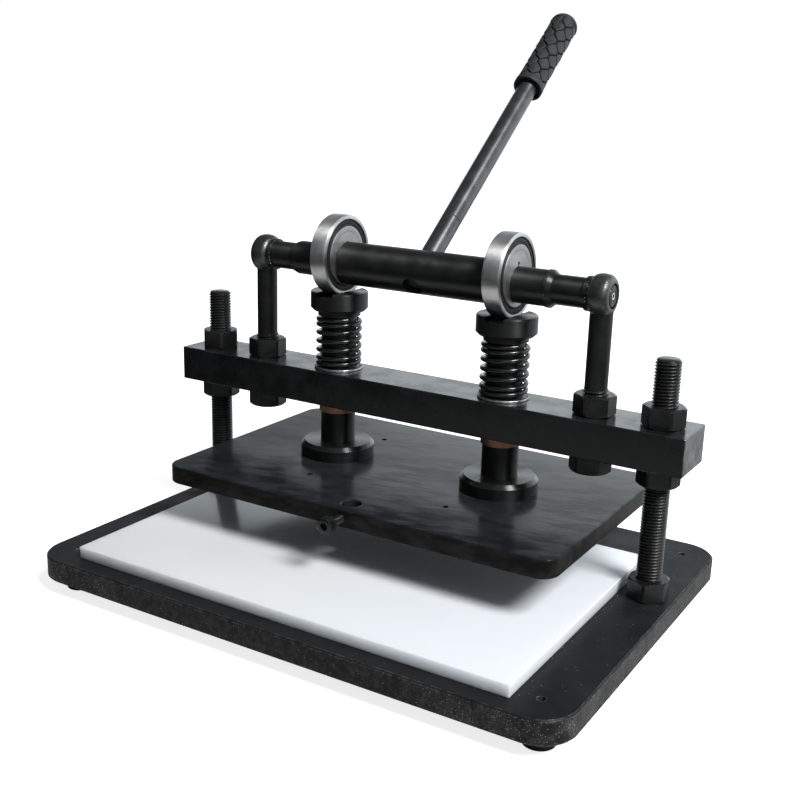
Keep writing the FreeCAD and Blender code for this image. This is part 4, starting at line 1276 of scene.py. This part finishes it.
def grip_outline():
    """The grip's outline from the end of its bore, round its mouth to its tip, and what is patterned."""
    mouth = GRIP_START + GRIP_MOUTH_DEPTH
    lip = GRIP_START + GRIP_LIP
    plain = [(GRIP_BORE_END, 0.0), (GRIP_BORE_END, GRIP_BORE), (mouth, GRIP_BORE), (mouth, GRIP_MOUTH),
             (lip, GRIP_MOUTH)]
    plain += quarter(lip, GRIP_MOUTH + GRIP_LIP, GRIP_LIP, 180.0, GRIP_LIP_STEPS)
    plain += quarter(lip, GRIP_COLLAR - GRIP_LIP, GRIP_LIP, 270.0, GRIP_LIP_STEPS)
    plain += [(GRIP_COLLAR_END - 2 * GRIP_LIP, GRIP_COLLAR), (GRIP_COLLAR_END, GRIP_BASE + GRIP_LIP)]
    count = int((GRIP_END - GRIP_ROUND - GRIP_COLLAR_END) / GRIP_STEP)
    scaled = [(GRIP_COLLAR_END + GRIP_STEP * k, GRIP_BASE, True) for k in range(1, count + 1)]
    tip = quarter(GRIP_END - GRIP_ROUND, GRIP_TOP - GRIP_ROUND, GRIP_ROUND, 0.0, GRIP_TIP_STEPS)[1:]
    tip.append((GRIP_END, 0.0))
    return [(*point, False) for point in plain] + scaled + [(*point, False) for point in tip]


def plain_end(distance):
    """Radius of the plain band between the scales and the tip, with its ring groove."""
    off = abs(distance - GRIP_RING) / (GRIP_RING_WIDTH / 2)
    ring = GRIP_RING_DEPTH * (1 - smooth(off)) if off < 1 else 0.0
    rise = smooth((distance - GRIP_RING + 2 * GRIP_STEP) / GRIP_STEP)
    return GRIP_BASE + (GRIP_TOP - GRIP_BASE) * rise - ring


def hand_grip(looks):
    """Moulded rubber with overlapping scales, whose free points face the lever."""
    sides = GRIP_SIDES
    verts = []
    outline = grip_outline()
    for distance, radius, patterned in outline:
        for k in range(sides):
            turn = 360.0 * k / sides
            out = radius
            if patterned:
                out = plain_end(distance) + scale_relief(distance, turn)
            verts.append(turned_point(distance, out, -math.radians(turn)))
    piece = mesh_object("grip", verts, grid_faces(len(outline), sides))
    # Faces deep in the grooves between the scales take the darker rubber: painted shade
    painted_shade_radius = GRIP_BASE - GROOVE_SHADE_SHARE * GROOVE_DEPTH
    paint(piece, looks["grip"], looks["groove"],
          lambda centre: GRIP_COLLAR_END < centre.z < SCALE_TIP and math.hypot(centre.x, centre.y) < painted_shade_radius)
    sharpen(move(tidy(piece), lever_frame()), angle=62.0)
    return stand_for(piece, "hand_grip", None, "shaft")


def lever_frame():
    """Matrix that takes Z to the lever's direction, with the origin in the shaft's centre."""
    return Matrix.Translation(SHAFT_CENTRE) @ Matrix.Rotation(-math.radians(LEVER_LEAN), 4, "X")


# Studio

def empty_nodes(owner):
    """The node tree of a material or a world, emptied."""
    owner.use_nodes = True
    owner.node_tree.nodes.clear()
    return Nodes(owner.node_tree)


def toward_back(nodes, direction):
    """How far a direction or place lies toward the backdrop."""
    turn = math.radians(BACKDROP_TURN)
    return nodes.dot(direction, (-math.sin(turn), math.cos(turn), 0.0))


def back_light(nodes, direction):
    """The backdrop's light: brightest behind and low, and dying out upward and sideways."""
    behind = nodes.spread(toward_back(nodes, direction), *BACKDROP_SPREAD)
    leaning = nodes.dot(direction, (-BACKDROP_SLOPE, 0.0, 1.0))
    height = nodes.plus(leaning, BACKDROP_SLOPE * BACKDROP_LEVEL_AT)
    top = [math.sin(math.radians(angle)) for angle in BACKDROP_TOP]
    low = nodes.spread(height, *top, BACKDROP_LEVEL, 0.0)
    glow = nodes.spread(nodes.part(direction, "Z"), *GLOW_HEIGHT, GLOW_LEVEL, 0.0)
    return nodes.times(behind, nodes.plus(low, glow))


def studio_world():
    """White to the camera. To the object it is a low backdrop and a side panel in a dim room."""
    world = bpy.data.worlds.new("studio")
    bpy.context.scene.world = world
    nodes = empty_nodes(world)
    direction = nodes.add("TexCoord").outputs["Generated"]
    path = nodes.add("LightPath").outputs
    ceiling = nodes.spread(nodes.part(direction, "Z"), *CEILING_SPREAD, ROOM_LEVEL, CEILING_LEVEL)
    beside = nodes.dot(direction, Vector(PANEL_DIRECTION).normalized())
    panel = nodes.spread(beside, *PANEL_SPREAD, 0.0, PANEL_LEVEL)
    room = nodes.plus(nodes.plus(back_light(nodes, direction), ceiling), panel)
    room = nodes.times(room, nodes.spread(path["Is Diffuse Ray"], 0.0, 1.0, 1.0, ROOM_FILL))
    seen = path["Is Camera Ray"]
    tint = nodes.mix(seen, ROOM_COLOUR, (1.0, 1.0, 1.0))
    values = {"Color": tint, "Strength": nodes.blend(seen, room, 1.0)}
    nodes.end("OutputWorld", nodes.wire("Background", values))


def floor_look():
    """Pale paper. The camera sees it turn pure white away from the object, and gloss sees it lit behind."""
    material = bpy.data.materials.new("floor_paper")
    nodes = empty_nodes(material)
    place = nodes.add("TexCoord").outputs["Object"]
    away = nodes.wire("VectorMath", {0: place}, "Value", operation="LENGTH")
    path = nodes.add("LightPath").outputs
    white = nodes.times(path["Is Camera Ray"], nodes.spread(away, *FLOOR_FADE, FLOOR_LIFT, 1.0))
    mirrored = nodes.maths("MAXIMUM", path["Is Glossy Ray"], path["Is Transmission Ray"])
    behind = nodes.spread(toward_back(nodes, place), *FLOOR_BACK, 0.0, FLOOR_BACK_LEVEL)
    strength = nodes.maths("MAXIMUM", white, nodes.times(mirrored, behind))
    glow = nodes.wire("Emission", {"Strength": strength})
    near = nodes.spread(away, *FLOOR_REACH, FLOOR_SHADE, FLOOR_DARK)
    tone = nodes.blend(path["Is Camera Ray"], near, FLOOR_TONE)
    matt = nodes.wire("BsdfDiffuse", {"Color": tone})
    nodes.end("OutputMaterial", nodes.wire("AddShader", {0: glow, 1: matt}))
    return material


def studio_floor():
    half = FLOOR_SIZE / 2
    corners = [(-half, -half, 0), (half, -half, 0), (half, half, 0), (-half, half, 0)]
    floor = mesh_object("floor", corners, [(0, 1, 2, 3)], smooth=False)
    floor.data.materials.append(floor_look())


def studio_lamp():
    """One square softbox, far off at the right and aimed low at the machine."""
    lamp = bpy.data.lights.new("softbox", "AREA")
    lamp.shape = "SQUARE"
    lamp.size = KEY_SIZE
    lamp.energy = KEY_POWER
    outward = Vector(KEY_DIRECTION).normalized()
    turn = (-outward).to_track_quat("-Z", "Y").to_matrix().to_4x4()
    place = Vector(KEY_TARGET) + outward * KEY_DISTANCE
    show("softbox", lamp).matrix_world = Matrix.Translation(place) @ turn


def studio_camera():
    camera = bpy.data.cameras.new("camera")
    camera.sensor_fit = "HORIZONTAL"
    camera.sensor_width = CAMERA_SENSOR
    camera.lens = CAMERA_LENS
    camera.shift_x, camera.shift_y = CAMERA_SHIFT
    camera.clip_start = CAMERA_CLIP
    holder = show("camera", camera)
    holder.location = CAMERA_PLACE
    holder.rotation_euler = Euler([math.radians(angle) for angle in CAMERA_TURN], "XYZ")
    bpy.context.scene.camera = holder
    bpy.context.scene.view_settings.view_transform = "Standard"


def main():
    looks = make_looks()
    dress_nodes(looks)
    for letter in SIDES:
        threaded_rod(letter, looks)
        eye_bolt(letter, looks)
        return_spring(letter, looks)
        roller_bearing(letter, looks)
    spring_washer_pair(looks)
    clamp_screw(looks)
    cutting_board(looks)
    board_crumbs(looks)
    shaft_flecks(looks)
    shaft_rims(looks)
    hand_grip(looks)
    studio_world()
    studio_floor()
    studio_lamp()
    studio_camera()


main()
